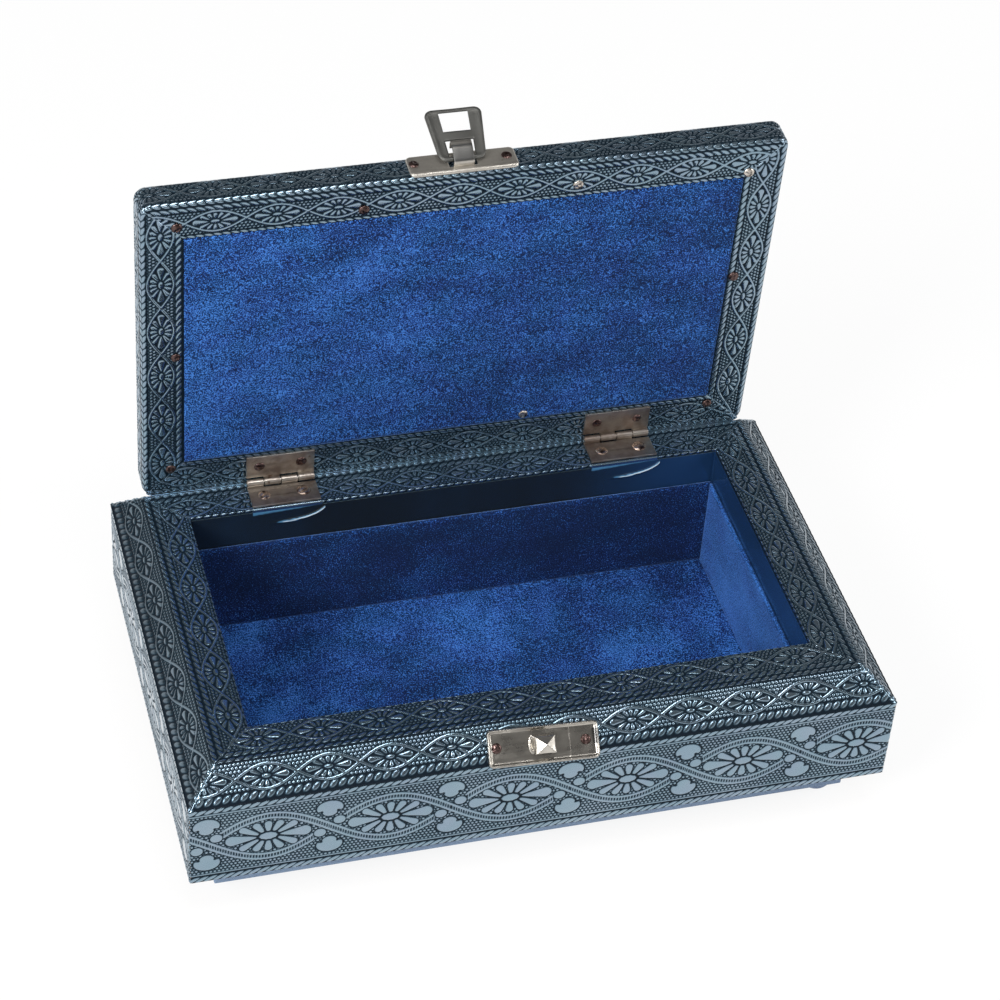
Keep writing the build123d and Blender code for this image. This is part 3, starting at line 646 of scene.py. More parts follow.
def rimAndLip(fold, step, thin):
    # the flat rim, then the lip down inside it; of the lip's rows past the creases, one in thin is kept
    rim = sectionRows((tray["bevel"], tray["rimHigh"]), (tray["lip"], tray["rimHigh"]), (fold, 45),
                      (tray["arris"], 90), pressing["rowStep"])
    down = sectionRows((tray["lip"], tray["rimHigh"]), (tray["lip"], tray["lipLow"]), (tray["arris"], 90), (0, 0), step)
    kept = (down["v"] < tray["creasesTo"]) | (np.arange(len(down["v"])) % thin == 0)
    kept[[0, -1]] = False, True
    down["v"] = down["v"] + rim["v"][-1]
    return {key: np.concatenate([rim[key], down[key][kept]]) for key in rim}


# at the back the outer fold is tighter, so that the open lid closes on it, and close rows carry the creases
rimRows = rimAndLip(tray["fold"], step=0.5, thin=1)
backRimRows = rimAndLip(tray["backFold"], step=0.25, thin=3)

# hand work, in the strips' own u and v; a pair is where a change begins and where it is complete
welt = {"proud": 0.12, "level": 0.9, "from": (0.0, 0.35), "to": (1.5, 2.6)}
crease = {"proud": 0.5, "half": 0.5, "top": 13.0, "deep": 5.0, "shift": 3, "reach": 14.5, "from": (-7, 0),
          "to": (11.2, 11.5), "below": (12.7, 13.2)}
lipWave = {"from": (13.0, 16.0), "level": 0.07, "wave": 0.05, "ripple": 0.02, "mitreEdge": 0.12}


def mitreCrush(side):
    # the bevel's sheet was hammered over at its mitres: welts, proud (level - waves), that fade out away from them
    half = tray["halfX"] if sides[side][1] else tray["halfY"]

    def sink(u, v):
        away = half - half2 * v - np.abs(u)
        waves = np.sin(3.9 * u + 0.7 * v) + 0.35 * np.sin(2.9 * v - 1.7 * u + 0.6)
        return welt["proud"] * (waves - welt["level"]) * smooth(*welt["from"], away) * (1 - smooth(*welt["to"], away))
    return sink


def fromLeaf(u):  # along the back from the middle of the nearer hinge leaf
    return -u - np.where(u > 0, -1, 1) * hinge["leafX"]


def creaseLine(u, v):  # 1 on a half oval that hangs below each hinge leaf and runs out to its left
    a = fromLeaf(u)
    low = crease["top"] + crease["deep"] * np.sqrt(np.clip(1 - ((a + crease["shift"]) / crease["reach"]) ** 2, 0, 1))
    return (ridge(v - low, crease["half"]) * smooth(*crease["from"], a) * (1 - smooth(*crease["to"], a))
            * smooth(*crease["below"], v))


def lipBuckle(side):
    # the folded band waves softly; under each hinge leaf at the back it stands out in a curved crease
    def sink(u, v):
        waves = smooth(*lipWave["from"], v) * (lipWave["level"] + lipWave["wave"] * np.sin(0.37 * u + 0.6)
                                               + lipWave["ripple"] * np.sin(0.11 * u * v / 14))
        if side == "front":  # the edge of the mitre stands up a little
            edge = ridge(tray["halfX"] - tray["bevel"] - v - np.abs(u) - 0.4, 0.35)
            waves = waves - lipWave["mitreEdge"] * edge * (1 - smooth(11.0, 11.5, v))
        return waves - crease["proud"] * creaseLine(u, v) if side == "back" else waves
    return sink


def plainUnderLeaf(u, v):  # 1 where a hinge leaf has rubbed the back's inner arris flat; on the crease up to 1.4, which paints its highlight
    a = fromLeaf(u)
    band = (1 - smooth(10.2, 10.8, np.abs(a))) * smooth(11.2, 11.6, v) * (1 - smooth(13.2, 15.2, v + 0.06 * a))
    return np.maximum(band, 1.4 * creaseLine(u, v))


# painted shade on the side bevels, 0 to 1, which keeps their crests dark: on the left it grows toward the back and on
# its outer rope, on the right it is even
sideBevelPaintedShade = {
    "left": lambda points: 0.4 + 0.25 * smooth(-50.0, 20.0, points[:, 1]) + 0.25 * smooth(96.5, 99.0, -points[:, 0]),
    "right": lambda points: 0.6 + 0 * points[:, 1]}

for side in sides:
    atBack = side == "back"
    pressedStrip(f"{side}_wall_embossing", f"{side}_wall_sheet", "base", side,
                 coarseWallRows if side in ("back", "right") else wallRows, wallRelief(vineStart[side]),
                 phase=wrapped(vineStart[side], pressing["columnStep"]))
    pressedStrip(f"{side}_bevel_embossing", f"{side}_bevel_sheet", "base", side,
                 coarseBevelRows if atBack else bevelRows, eyeRelief(bevelStart[side], *bevelPlan),
                 buckle=mitreCrush(side), seamWide=2.0, paintedBevelShade=sideBevelPaintedShade.get(side), cornerRound=0.2)
    rows = backRimRows if atBack else rimRows
    pressedStrip(f"{side}_rim_embossing", f"{side}_rim_sheet", "base", side, rows,
                 eyeRelief(rimStart[side], *rimPlan), finishRows=rows["v"] > tray["bandFrom"],
                 buckle=lipBuckle(side), plainBelow=tray["selvage"] if atBack else None,
                 plain=plainUnderLeaf if atBack else None)
print("tray embossing made")

lid = {"halfX": 93.0, "halfY": 55.0, "thick": 10.0, "border": 12.4, "arris": 2.0, "backArris": 0.6,
       "selvage": 0.9, "topColumn": 0.381}
# eyeRelief's numbers, with the start of the eyes first in borderPlan and topPlan
borderPlan = {"front": (-80.5, 7.35, 3.45, [(0.5, 0.85, 1.1), (2.6, 1.0, 1.1), (12.2, 0.8, 1.0)], 3.7, 11.3),
              "left": (1.07, 5.95, 3.7, [(0.9, 1.0, 1.1), (10.9, 0.95, 1.1)], 2.0, 10.0),
              "right": (-5.2, 6.4, 3.4, [(1.4, 1.1, 1.1), (11.3, 0.95, 1.1)], 2.6, 10.3),
              "back": (3.0, 6.3, 3.5, [(1.7, 0.95, 1.1), (11.4, 0.9, 1.1)], 2.6, 10.4)}
edgeStart = {"front": -80.8, "left": 4.0, "right": -3.0, "back": 5.0}
edgePlan = (5.2, 3.2, [(0.7, 0.8, 1.0), (9.4, 0.7, 1.0)], 1.4, 8.8)
topPlan = (-4.2, 6.4, 3.4, [(1.4, 1.0, 1.1), (11.4, 0.9, 1.1)], 2.5, 10.4)

# the back's lower arris is tighter, so that it closes on the tray's rim when the lid stands open
borderRows, backBorderRows = (
    sectionRows((lid["border"], 0), (0, 0), (0, 0), (lid[arris], 90), pressing["rowStep"])
    for arris in ("arris", "backArris"))
for rows in (borderRows, backBorderRows):
    rows["v"] = lid["border"] - rows["v"]  # counted from the outer edge inwards
edgeRows, backEdgeRows = (
    sectionRows((0, 0), (0, lid["thick"]), (lid[arris], 90), (lid["arris"], 90), pressing[step])
    for arris, step in (("arris", "rowStep"), ("backArris", "coarseRow")))
topRows = sectionRows((0, lid["thick"]), (lid["border"], lid["thick"]), (lid["arris"], 90), (0, 0),
                      pressing["coarseRow"])

for side in sides:
    atBack = side == "back"
    selvage = lid["selvage"] if atBack else None
    pressedStrip(f"lid_{side}_border_embossing", f"lid_{side}_border", "lid", side,
                 backBorderRows if atBack else borderRows, eyeRelief(*borderPlan[side]), plainBelow=selvage)
    pressedStrip(f"lid_{side}_edge_embossing", f"lid_{side}_edge", "lid", side,
                 backEdgeRows if atBack else edgeRows, eyeRelief(edgeStart[side], *edgePlan), plainBelow=selvage)
    pressedStrip(f"lid_{side}_top_embossing", "lid_top_sheet", "lid", side, topRows, eyeRelief(*topPlan),
                 columnStep=lid["topColumn"])
print("lid embossing made")

lidTop = {"rowTall": 28.2, "shift": 17.15, "vineTo": (11.4, 11.8), "line": 12.0, "rope": 13.5, "ropeHalf": 0.95,
          "points": (424, 212)}


def lidFieldRelief(u, v):
    # three rows of the wall's vine between thin lines and ropes; u and v from the middle of the lid
    row = np.clip(np.round(v / lidTop["rowTall"]), -1, 1)
    local = v - row * lidTop["rowTall"]
    height = vineRelief(u + row * lidTop["shift"], local, 0.0) * (1 - smooth(*lidTop["vineTo"], np.abs(local)))
    height = np.maximum(height, 0.85 * ridge(np.abs(local) - lidTop["line"], wallPlan["lineHalf"]))
    for middle in (lidTop["rope"], -lidTop["rope"]):
        height = np.maximum(height, rope(u, local, middle, lidTop["ropeHalf"]))
    return height


def lidField():
    # a flat panel inside the top's border, sunk by the relief and closed with a plain back
    halfX, halfY = lid["halfX"] - lid["border"], lid["halfY"] - lid["border"]
    columns, lines = lidTop["points"]
    gridX, gridY = np.meshgrid(np.linspace(-halfX, halfX, columns), np.linspace(-halfY, halfY, lines))
    edge = np.minimum(halfX - np.abs(gridX), halfY - np.abs(gridY))
    level = pressing["edgeHeight"]
    relief = level + (lidFieldRelief(gridX, gridY) - level) * smooth(0.0, 0.35, edge)
    flat = gridX[..., None] * lidAxes["x"] + gridY[..., None] * lidAxes["y"]
    sink = pressing["depth"] * (1 - relief) + pressing["uneven"] * wobble(flat) * smooth(0.3, 3, edge)
    top = flat + (lid["thick"] - sink)[..., None] * lidAxes["up"]
    back = flat + (lid["thick"] - pressing["thickness"]) * lidAxes["up"]
    points, loops, total, ring = closedCard(top, back)
    tone = np.concatenate([relief.ravel(), np.full(len(ring), pressing["backHeight"])])
    uv = np.stack([gridX, gridY], 2).reshape(-1, 2)
    piece = meshFromLoops("lid_top_field", points + lidOrigin, loops, total, [finishes["embossed"]], None,
                          np.concatenate([uv, uv[ring]]), {"relief": tone})
    settle(piece, "lid_top_sheet", "lid")


lidField()
print("lid top made")


def inFrame(spot, x, y, z):  # spot = (origin, right, up, outward)
    origin, right, up, out = spot
    return origin + x[..., None] * right + y[..., None] * up + z[..., None] * out


velvetCards = {"step": 0.8, "pile": 0.22, "edge": 0.3, "edgeWide": 0.8, "waves": 26, "waveLength": (6, 30),
               "wallTall": 31.7, "wallThick": 1.08, "wallMiddle": 24.6, "floor": (162.4, 86.4, 1.0),
               "floorTop": 9.0, "lid": (161.1, 85.1, 1.2)}
# how far out each wall's face stands, its width, finish and seed
# the back wall's finish carries painted shade and the right wall's painted light
velvetWalls = {"front": (41.9, 162.0, "velvet", 8), "back": (41.9, 162.0, "velvetShade", 7),
               "left": (79.9, 83.8, "velvet", 7), "right": (79.9, 83.8, "velvetLit", 8)}


def softNoise(x, y, seed):  # cosine waves of random heading, length and start added
    rng = np.random.default_rng(seed)
    total = np.zeros(np.broadcast(x, y).shape)
    turn = 2 * np.pi
    for _ in range(velvetCards["waves"]):
        heading, length, shift = rng.uniform(0, turn), rng.uniform(*velvetCards["waveLength"]), rng.uniform(0, turn)
        total += np.cos(turn * (x * np.cos(heading) + y * np.sin(heading)) / length + shift)
    return total / velvetCards["waves"] ** 0.5


def velvetCard(name, node, body, spot, wide, tall, thick, seed, finish="velvet"):
    # a board wrapped in pile: the face waves by pile * noise and rolls over its edges by a quarter round
    x = np.linspace(-wide / 2, wide / 2, int(wide / velvetCards["step"]))
    y = np.linspace(-tall / 2, tall / 2, int(tall / velvetCards["step"]))
    gridX, gridY = np.meshgrid(x, y)
    edge = np.minimum(wide / 2 - np.abs(gridX), tall / 2 - np.abs(gridY))
    inEdge = 1 - np.clip(edge / velvetCards["edgeWide"], 0, 1)
    roll = velvetCards["edge"] * (1 - np.sqrt(np.clip(1 - inEdge ** 2, 0, 1)))
    sink = velvetCards["pile"] * (0.5 + 0.25 * softNoise(gridX, gridY, seed)).clip(0, 1) * smooth(0, 4, edge) + roll
    top, back = inFrame(spot, gridX, gridY, -sink), inFrame(spot, gridX, gridY, 0 * gridX - thick)
    points, loops, total, _ = closedCard(top, back)
    return settle(meshFromLoops(name, points, loops, total, [finishes[finish]]), node, body)


def velvetWall(side, reach, wide, finish, seed):  # a card whose face looks inward
    ox, oy = sides[side]
    inward, up = np.array([-ox, -oy, 0.0]), baseAxes["up"]
    spot = (np.array([ox * reach, oy * reach, velvetCards["wallMiddle"]]), np.cross(up, inward), up, inward)
    piece = velvetCard(f"{side}_velvet", f"{side}_lining", "base", spot, wide, velvetCards["wallTall"],
                       velvetCards["wallThick"], seed, finish)


for side, row in velvetWalls.items():
    velvetWall(side, *row)
floorSpot = (velvetCards["floorTop"] * baseAxes["up"], baseAxes["x"], baseAxes["y"], baseAxes["up"])
floorCard = velvetCard("floor_velvet", "floor_lining", "base", floorSpot, *velvetCards["floor"], 21, "velvetFloor")
lidCard = velvetCard("lid_velvet", "lid_lining", "lid", (lidOrigin, lidAxes["x"], -lidAxes["y"], -lidAxes["up"]),
                     *velvetCards["lid"], 33)
print("velvet cards made")


def rounded(gridX, gridY, halfX, halfY, r):
    # squares pushed into round corners, so no face is lost; d is the distance in from the outline
    bx, by = np.abs(gridX) - (halfX - r), np.abs(gridY) - (halfY - r)
    corner = (bx > 0) & (by > 0)
    k = np.where(corner, np.maximum(bx, by) / np.maximum(np.hypot(bx, by), 1e-9), 1.0)
    px = np.where(corner, np.sign(gridX) * (halfX - r + bx * k), gridX)
    py = np.where(corner, np.sign(gridY) * (halfY - r + by * k), gridY)
    return px, py, r - np.where(corner, np.hypot(bx * k, by * k), np.maximum(bx, by))


def lineUp(half, steps, spacing, extra=()):
    # grid lines at the given distances from both ends, evenly between, and at the extra places
    inner = half - steps[-1]
    middle = np.linspace(-inner, inner, max(2, 2 * round(inner / spacing) + 1))
    ends = half - np.array(steps)
    return np.unique(np.round(np.concatenate([-ends, middle, ends, extra]), 4))


def shell(front, back, cells=None):
    # two grids of one shape joined round every border of the kept cells; returns points and faces
    ny, nx = front.shape[:2]
    ids = np.arange(ny * nx).reshape(ny, nx)
    cells = np.ones((ny - 1, nx - 1), bool) if cells is None else cells
    quads = gridCells(ids)[cells.ravel()]
    faces = [quads, quads[:, ::-1] + ny * nx]
    padded = np.pad(cells.astype(int), 1)
    stepX, stepY = np.diff(padded[1:-1], axis=1), np.diff(padded[:, 1:-1], axis=0)
    for step, di, dj, sign in ((stepX, 1, 0, 1), (stepX, 1, 0, -1), (stepY, 0, 1, 1), (stepY, 0, 1, -1)):
        i, j = np.nonzero(step == sign)
        a, b = ids[i, j], ids[i + di, j + dj]
        if (sign == 1) != (di == 1):
            a, b = b, a
        faces.append(np.stack([a, b, b + ny * nx, a + ny * nx], 1))
    return np.concatenate([front.reshape(-1, 3), back.reshape(-1, 3)]), np.concatenate(faces)


def plateShell(spot, x, y, front, back, cells=None):  # a shell whose two sides share their x and y
    return shell(inFrame(spot, x, y, front), inFrame(spot, x, y, back + 0 * x), cells)


def outsideHole(x, y, hole):  # which cells of a grid lie outside hole = (left, right, low, high)
    midX, midY = (x[1:, 1:] + x[:-1, :-1]) / 2, (y[1:, 1:] + y[:-1, :-1]) / 2
    return ~((midX > hole[0]) & (midX < hole[1]) & (midY > hole[2]) & (midY < hole[3]))


def hardware(name, shells, node, body, finish, smoothFaces=True, paintedShade=None):
    # several shells as one piece
    shift, points, faces = 0, [], []
    for p, f in shells:
        points.append(p)
        faces.append(f + shift)
        shift += len(p)
    faces = np.concatenate(faces)
    piece = meshFromLoops(name, np.concatenate(points), faces.ravel(), np.full(len(faces), 4), [finishes[finish]],
                          attributes={} if paintedShade is None else {"paintedShade": paintedShade}, smoothFaces=smoothFaces)
    settle(piece, node, body)


fittingsX = -2.0  # the catch and the latch stand a little left of the middle
bevelSpot = (np.array([fittingsX, -tray["halfY"], tray["wallHigh"]]), baseAxes["x"],
             half2 * (baseAxes["up"] + baseAxes["y"]), half2 * (baseAxes["up"] - baseAxes["y"]))
latchSpot = (lidOrigin + fittingsX * lidAxes["x"] - lid["halfY"] * lidAxes["y"], lidAxes["x"], lidAxes["up"],
             -lidAxes["y"])
undersideSpot = (lidOrigin, lidAxes["x"], lidAxes["y"], -lidAxes["up"])
rimSpot = (np.array([0, hinge["y"], tray["rimHigh"]]), baseAxes["x"], baseAxes["y"], baseAxes["up"])

# the catch was nailed on a little askew; its rim, and the others below, are (distance in from the edge, height);
# a dimple is (depth, width squared), the scored line (height, width), the curl (x, y, half widths, height) and the
# painted shade (from x, to x, low, high)
catch = {"turn": -2.6, "x": -0.3, "y": 3.9, "halfX": 15.9, "halfY": 5.35, "corner": 1.6,
         "rim": ((0, 0.1), (0.12, 0.6), (0.3, 0.98), (0.5, 1.1), (0.7, 1.02), (0.9, 0.78), (1.1, 0.58), (1.4, 0.5)),
         "nails": ((-13.3, 0.1), (12.1, 0.1)), "dimple": (0.22, 4.5), "score": 7.4, "scored": (0.05, 0.12),
         "curl": (-3.0, 0.2, 0.6, 1.75, 0.4), "shadeMask": (13.7, 14.4, -1.2, 3.0), "stud": (-0.2, -0.1),
         "neck": 3.5, "neckHalf": (2.3, 1.8), "neckOff": (-0.6, 0.3), "neckCorner": 0.7, "headX": 2.95,
         "headY": 2.5, "peak": 1.7, "drawnIn": 0.07}
turned = math.radians(catch["turn"])
catchSpot = (bevelSpot[0] + catch["x"] * bevelSpot[1] + catch["y"] * bevelSpot[2],
             math.cos(turned) * bevelSpot[1] + math.sin(turned) * bevelSpot[2],
             math.cos(turned) * bevelSpot[2] - math.sin(turned) * bevelSpot[1], bevelSpot[3])


def catchTray():
    # a pressed tray: the height over the sheet follows the rim's profile by the distance in from the outline
    steps, tall = zip(*catch["rim"])
    fine = [*np.arange(-4.5, -2.0, 0.12), *(catch["score"] + np.array([-0.3, -0.2, -0.1, 0, 0.1, 0.2, 0.3]))]
    x, y = np.meshgrid(lineUp(catch["halfX"], steps, 0.35, fine), lineUp(catch["halfY"], steps, 0.2))
    x, y, d = rounded(x, y, catch["halfX"], catch["halfY"], catch["corner"])
    z = np.interp(d, steps, tall)
    deep, wide = catch["dimple"]
    for nx, ny in catch["nails"]:
        z -= deep * np.exp(-((x - nx) ** 2 + (y - ny) ** 2) / wide) * smooth(1.1, 2.0, d)
    deep, wide = catch["scored"]
    z += deep * np.exp(-((x - catch["score"]) / wide) ** 2) * smooth(0.2, 0.5, d)
    # the sheet curls up round the left of the stud's neck
    curlX, curlY, halfX, halfY, tallest = catch["curl"]
    ring = np.hypot((x - catch["stud"][0] - curlX) / halfX, (y - catch["stud"][1] - curlY) / halfY)
    z += tallest * np.exp(-((ring - 1) / 0.3) ** 2) * (x < catch["stud"][0] - 2.4)
    z += (0.05 * np.sin(0.42 * x + 0.8) + 0.10 * (y / catch["halfY"]) ** 2) * smooth(1.0, 2.5, d)
    # painted shade darkens the inside of the right rim between its ends
    left, right, low, high = catch["shadeMask"]
    shadeMask = 0.85 * smooth(left, right, x) * smooth(0.3, 0.6, d) * (y > low) * (y < high)
    hardware("catch_tray", [plateShell(catchSpot, x, y, z, np.minimum(z - 0.1, 0))], "catch_plate", "base",
             "nickel", paintedShade=np.concatenate([shadeMask.ravel(), shadeMask.ravel()]))


def catchStud():
    # a square neck and a four-sided point: facets (1 - max(|x|/a, |y|/b))^1.15, the outline drawn in between corners
    sx, sy = np.meshgrid(np.linspace(-1, 1, 33), np.linspace(-1, 1, 33))
    far = np.maximum(np.abs(sx), np.abs(sy))
    x = catch["stud"][0] + catch["headX"] * sx * (1 - catch["drawnIn"] * (1 - sy ** 2) * far)
    y = catch["stud"][1] + catch["headY"] * sy * (1 - catch["drawnIn"] * (1 - sx ** 2) * far)
    z = catch["neck"] + 0.45 + catch["peak"] * (1 - far) ** 1.15 - 0.12 * smooth(0.9, 1.0, far)
    head = plateShell(catchSpot, x, y, z, catch["neck"] - 0.1)
    halfX, halfY = catch["neckHalf"]
    grid = np.meshgrid(lineUp(halfX, (0, 0.2, 0.5), 0.5), lineUp(halfY, (0, 0.2, 0.5), 0.5))
    nx, ny, _ = rounded(*grid, halfX, halfY, catch["neckCorner"])
    nx, ny = nx + catch["stud"][0] + catch["neckOff"][0], ny + catch["stud"][1] + catch["neckOff"][1]
    neck = plateShell(catchSpot, nx, ny, catch["neck"] + 0 * nx, 0.35)
    hardware("catch_point", [head, neck], "catch_stud", "base", "bright", smoothFaces=False)


# slot is (left, right, low, high); the loop's line is (out, up) from the slot's lower side on, and its painted shade is
# (number of the line's point, how dark)
latch = {"halfX": 15.5, "low": 0.7, "high": 9.0, "corner": 1.5, "arris": 2.6, "slot": (-4.1, 4.1, 2.7, 7.2),
         "rim": ((0, 0.25), (0.15, 0.5), (0.4, 0.66), (0.8, 0.68), (1.3, 0.62), (1.8, 0.6)),
         "nails": ((-13.7, 5.6), (12.8, 5.4)), "dimple": (0.12, 3.0), "loopHalf": 2.9, "loopSheet": 0.5,
         "loop": ((-0.1, 2.75), (0.5, 2.62), (1.1, 2.5), (1.7, 2.42), (2.15, 2.46), (2.5, 2.7), (2.9, 3.15),
                  (3.5, 3.85), (4.1, 4.6), (4.6, 5.25), (4.85, 5.7), (5.1, 6.3), (5.35, 7.0), (5.45, 7.6),
                  (5.3, 8.15), (4.95, 8.55), (4.4, 8.8), (3.7, 8.9), (3.0, 8.85), (2.5, 8.7)),
         "loopEdge": (0, 0.04, 0.15, 0.5), "loopRound": (0.12, 0.04, 0, 0, 0, 0, 0.04, 0.12),
         "paintedShade": ((0, 0.1), (4, 0.15), (5, 0.9), (9, 0.85), (10, 0.75), (11, 0.95), (12, 0.35), (20, 0.3))}


def latchPlate():
    # the plate follows the lid's arris by a circle below y = 2; its slot is cut out and the torn tongue makes the loop
    steps, tall = zip(*latch["rim"])
    middle, halfY = (latch["low"] + latch["high"]) / 2, (latch["high"] - latch["low"]) / 2
    left, right, low, high = latch["slot"]
    slot = (left, right, low - middle, high - middle)
    x, y = np.meshgrid(lineUp(latch["halfX"], steps, 0.5, slot[:2]), lineUp(halfY, steps, 0.4, slot[2:]))
    cells = outsideHole(x, y, slot)
    x, y, d = rounded(x, y, latch["halfX"], halfY, latch["corner"])
    y = y + middle
    fall = latch["arris"] - np.sqrt(latch["arris"] ** 2 - np.clip(2.0 - y, 0, 2.5) ** 2)
    z = np.interp(d, steps, tall) + 0.03 * np.sin(0.5 * x) * np.sin(0.7 * y)
    deep, wide = latch["dimple"]
    for nx, ny in latch["nails"]:
        z -= deep * np.exp(-((x - nx) ** 2 + (y - ny) ** 2) / wide)
    plate = plateShell(latchSpot, x, y, z - fall, np.minimum(0.02, z - 0.1) - 0.9 * fall, cells)
    # the loop: up from the slot's lower side, back over the hasp's bar and down behind it
    path = np.array(latch["loop"])
    along = np.gradient(path, axis=0)
    along = along / np.linalg.norm(along, axis=1)[:, None]
    inward = np.stack([-along[:, 1], along[:, 0]], 1)
    inner = path + latch["loopSheet"] * inward
    edge = 1 - np.array(latch["loopEdge"])
    across, out = np.meshgrid(latch["loopHalf"] * np.concatenate([-edge, edge[::-1]]), path[:, 0])
    sag = np.array(latch["loopRound"])
    ragged = 0.16 * np.sin(5.1 * across + 0.7) * smooth(1.0, 0.0, out)
    high = path[:, 1:] + 0 * across + sag * inward[:, 1:] + ragged
    outer = inFrame(latchSpot, across, high, out + sag * inward[:, :1])
    under = inFrame(latchSpot, across, inner[:, 1:] + 0 * across, inner[:, :1] + 0 * across)
    # painted shade along the loop, darkest on its front face
    shadeMask = np.interp(np.arange(len(path)), *zip(*latch["paintedShade"]))[::-1, None] + 0 * across
    paintedShade = np.concatenate([np.zeros(len(plate[0])), shadeMask.ravel(), shadeMask.ravel()])
    hardware("latch_plate_and_loop", [plate, shell(outer[::-1], under[::-1])], "latch_plate", "lid",
             "plate", paintedShade=paintedShade)


# lean is its angle from straight out, in degrees, axis the line it turns on, as (up, out) from the lid's lower front
# edge; slot and window are (left, right, low, high)
hasp = {"lean": 68.0, "axis": (4.4, 2.1), "reach": 15.6, "foot": -0.75, "halfX": 7.5, "footHalf": 6.6,
        "endHalf": 8.35, "corner": 2.2, "slot": (-4.2, 4.2, 0.35, 5.6), "window": (-3.95, 3.95, 8.3, 14.5),
        "rim": ((0, -0.05), (0.1, 0.2), (0.3, 0.38), (0.6, 0.46), (1.0, 0.42), (1.5, 0.35), (1.9, 0.33))}


def haspPlate():
    # a pressed trapezoid with a raised rim: rounded rectangle first, widened toward the free end, two openings cut
    steps, tall = zip(*hasp["rim"])
    lean = math.radians(hasp["lean"])
    up, out = latchSpot[2:]
    spot = (latchSpot[0] + hasp["axis"][0] * up + hasp["axis"][1] * out, latchSpot[1],
            math.sin(lean) * up + math.cos(lean) * out, math.sin(lean) * out - math.cos(lean) * up)
    long = hasp["reach"] - hasp["foot"]
    middle, halfY = (hasp["foot"] + hasp["reach"]) / 2, long / 2
    holes = [(a, b, c - middle, d - middle) for a, b, c, d in (hasp["slot"], hasp["window"])]
    x, y = np.meshgrid(lineUp(hasp["halfX"], steps, 0.5, [hole[i] for hole in holes for i in (0, 1)]),
                       lineUp(halfY, steps, 0.5, [hole[i] for hole in holes for i in (2, 3)]))
    cells = outsideHole(x, y, holes[0]) & outsideHole(x, y, holes[1])
    x, y, d = rounded(x, y, hasp["halfX"], halfY, hasp["corner"])
    y = y + middle
    grow = hasp["footHalf"] + (hasp["endHalf"] - hasp["footHalf"]) * (y - hasp["foot"]) / long
    side = hasp["slot"][1]  # inside the openings' sides the widening fades out toward the middle
    x = x * np.where(np.abs(x) > side, grow / hasp["halfX"], 1 + (grow / hasp["halfX"] - 1) * np.abs(x) / side)
    z = np.interp(d, steps, tall) + 0.05 * np.sin(0.5 * x + 0.3 * y)
    hardware("hasp_plate", [plateShell(spot, x, y, z, z * 0.25 - 0.4, cells)], "hasp", "hasp", "hasp")


nailShape = {"radius": 1.5, "tall": 0.72, "dent": 0.3, "dents": 3, "collar": 0.35, "rawWider": 1.33}


def nailHeads(name, node, body, spot, seats, lift, finish, seed):
    # hammered heads: tall sqrt(1 - 0.94 (r / radius)^2) less three round dents, on a short collar
    rng = np.random.default_rng(seed)
    shells = []
    for sx, sy in seats:
        radius = nailShape["radius"] * rng.uniform(0.92, 1.08) * (nailShape["rawWider"] if finish == "rawNail" else 1)
        line = np.linspace(-radius, radius, 21)
        x, y, _ = rounded(*np.meshgrid(line, line), radius, radius, radius)
        r = np.hypot(x, y) / radius
        z = nailShape["tall"] * np.sqrt(np.clip(1 - 0.94 * r ** 2, 0, 1)) * rng.uniform(0.85, 1.05)
        for _ in range(nailShape["dents"]):
            away, heading = radius * rng.uniform(0.15, 0.75), rng.uniform(0, 2 * np.pi)
            size = radius * rng.uniform(0.22, 0.4)
            z -= nailShape["dent"] * rng.uniform(0.5, 1) * np.exp(
                -((x - away * np.cos(heading)) ** 2 + (y - away * np.sin(heading)) ** 2) / size ** 2)
        z = np.maximum(z, 0.1)
        shells.append(plateShell(spot, x + sx, y + sy, z + lift, lift - nailShape["collar"]))
    hardware(name, shells, node, body, finish)


# two nails a leaf, at leafX plus and minus the first number; the lid's own listed one by one
hingeNails = {"base": (5.9, -5.0), "lid": (6.3, 47.6)}
lidNails = {"brown": [(-82.6, -46.8), (-30.5, -45.9), (82.4, -5.1), (-83.0, 0.7), (-84.6, 44.6), (80.7, 45.8)],
            "pale": [(30.9, -46.6), (81.7, -44.2), (22.0, 40.3)]}
leafSeats = {body: [(side * hinge["leafX"] + way * off, y) for side in (-1, 1) for way in (-1, 1)]
             for body, (off, y) in hingeNails.items()}

catchTray()
catchStud()
latchPlate()
haspPlate()
nailHeads("catch_nail_heads", "catch_nails", "base", catchSpot, catch["nails"], 0.3, "nail", 1)
nailHeads("latch_nail_heads", "latch_nails", "lid", latchSpot, latch["nails"], 0.5, "nail", 2)
nailHeads("base_leaf_nail_heads", "base_leaf_nails", "base", rimSpot, leafSeats["base"], 0.55, "rawNail", 3)
nailHeads("lid_leaf_nail_heads", "lid_leaf_nails", "lid", undersideSpot, leafSeats["lid"], 0.5, "nail", 4)
nailHeads("lid_nail_heads", "lid_nails", "lid", undersideSpot, lidNails["brown"], 0.0, "nail", 5)
nailHeads("lid_pale_nail_heads", "lid_nails", "lid", undersideSpot, lidNails["pale"], 0.0, "paleNail", 6)

core = {"inside": 0.45, "steps": (0, 0.5, 1.5, 3.0), "fall": (1.6, 0.7, 0.1, 0.0), "top": 9.5, "low": 1.3}


def lidCore():
    # the lid's wood under its sheets, with the same rounded corners and its edges eased by fall
    halfX, halfY = lid["halfX"] - core["inside"], lid["halfY"] - core["inside"]
    grid = np.meshgrid(lineUp(halfX, core["steps"], 15.0), lineUp(halfY, core["steps"], 15.0))
    x, y, d = rounded(*grid, halfX, halfY, pressing["lidCorner"][0] - 0.4)
    fall = np.interp(d, core["steps"], core["fall"])
    spot = (lidOrigin, lidAxes["x"], lidAxes["y"], lidAxes["up"])
    hardware("lid_core", [plateShell(spot, x, y, core["top"] - fall, core["low"] + fall)], "lid_board", "lid",
             "wood")


feet = {"radius": 5.2, "tall": 5.0, "power": 2.4, "leftBack": 5.6, "rightBack": 0.6}


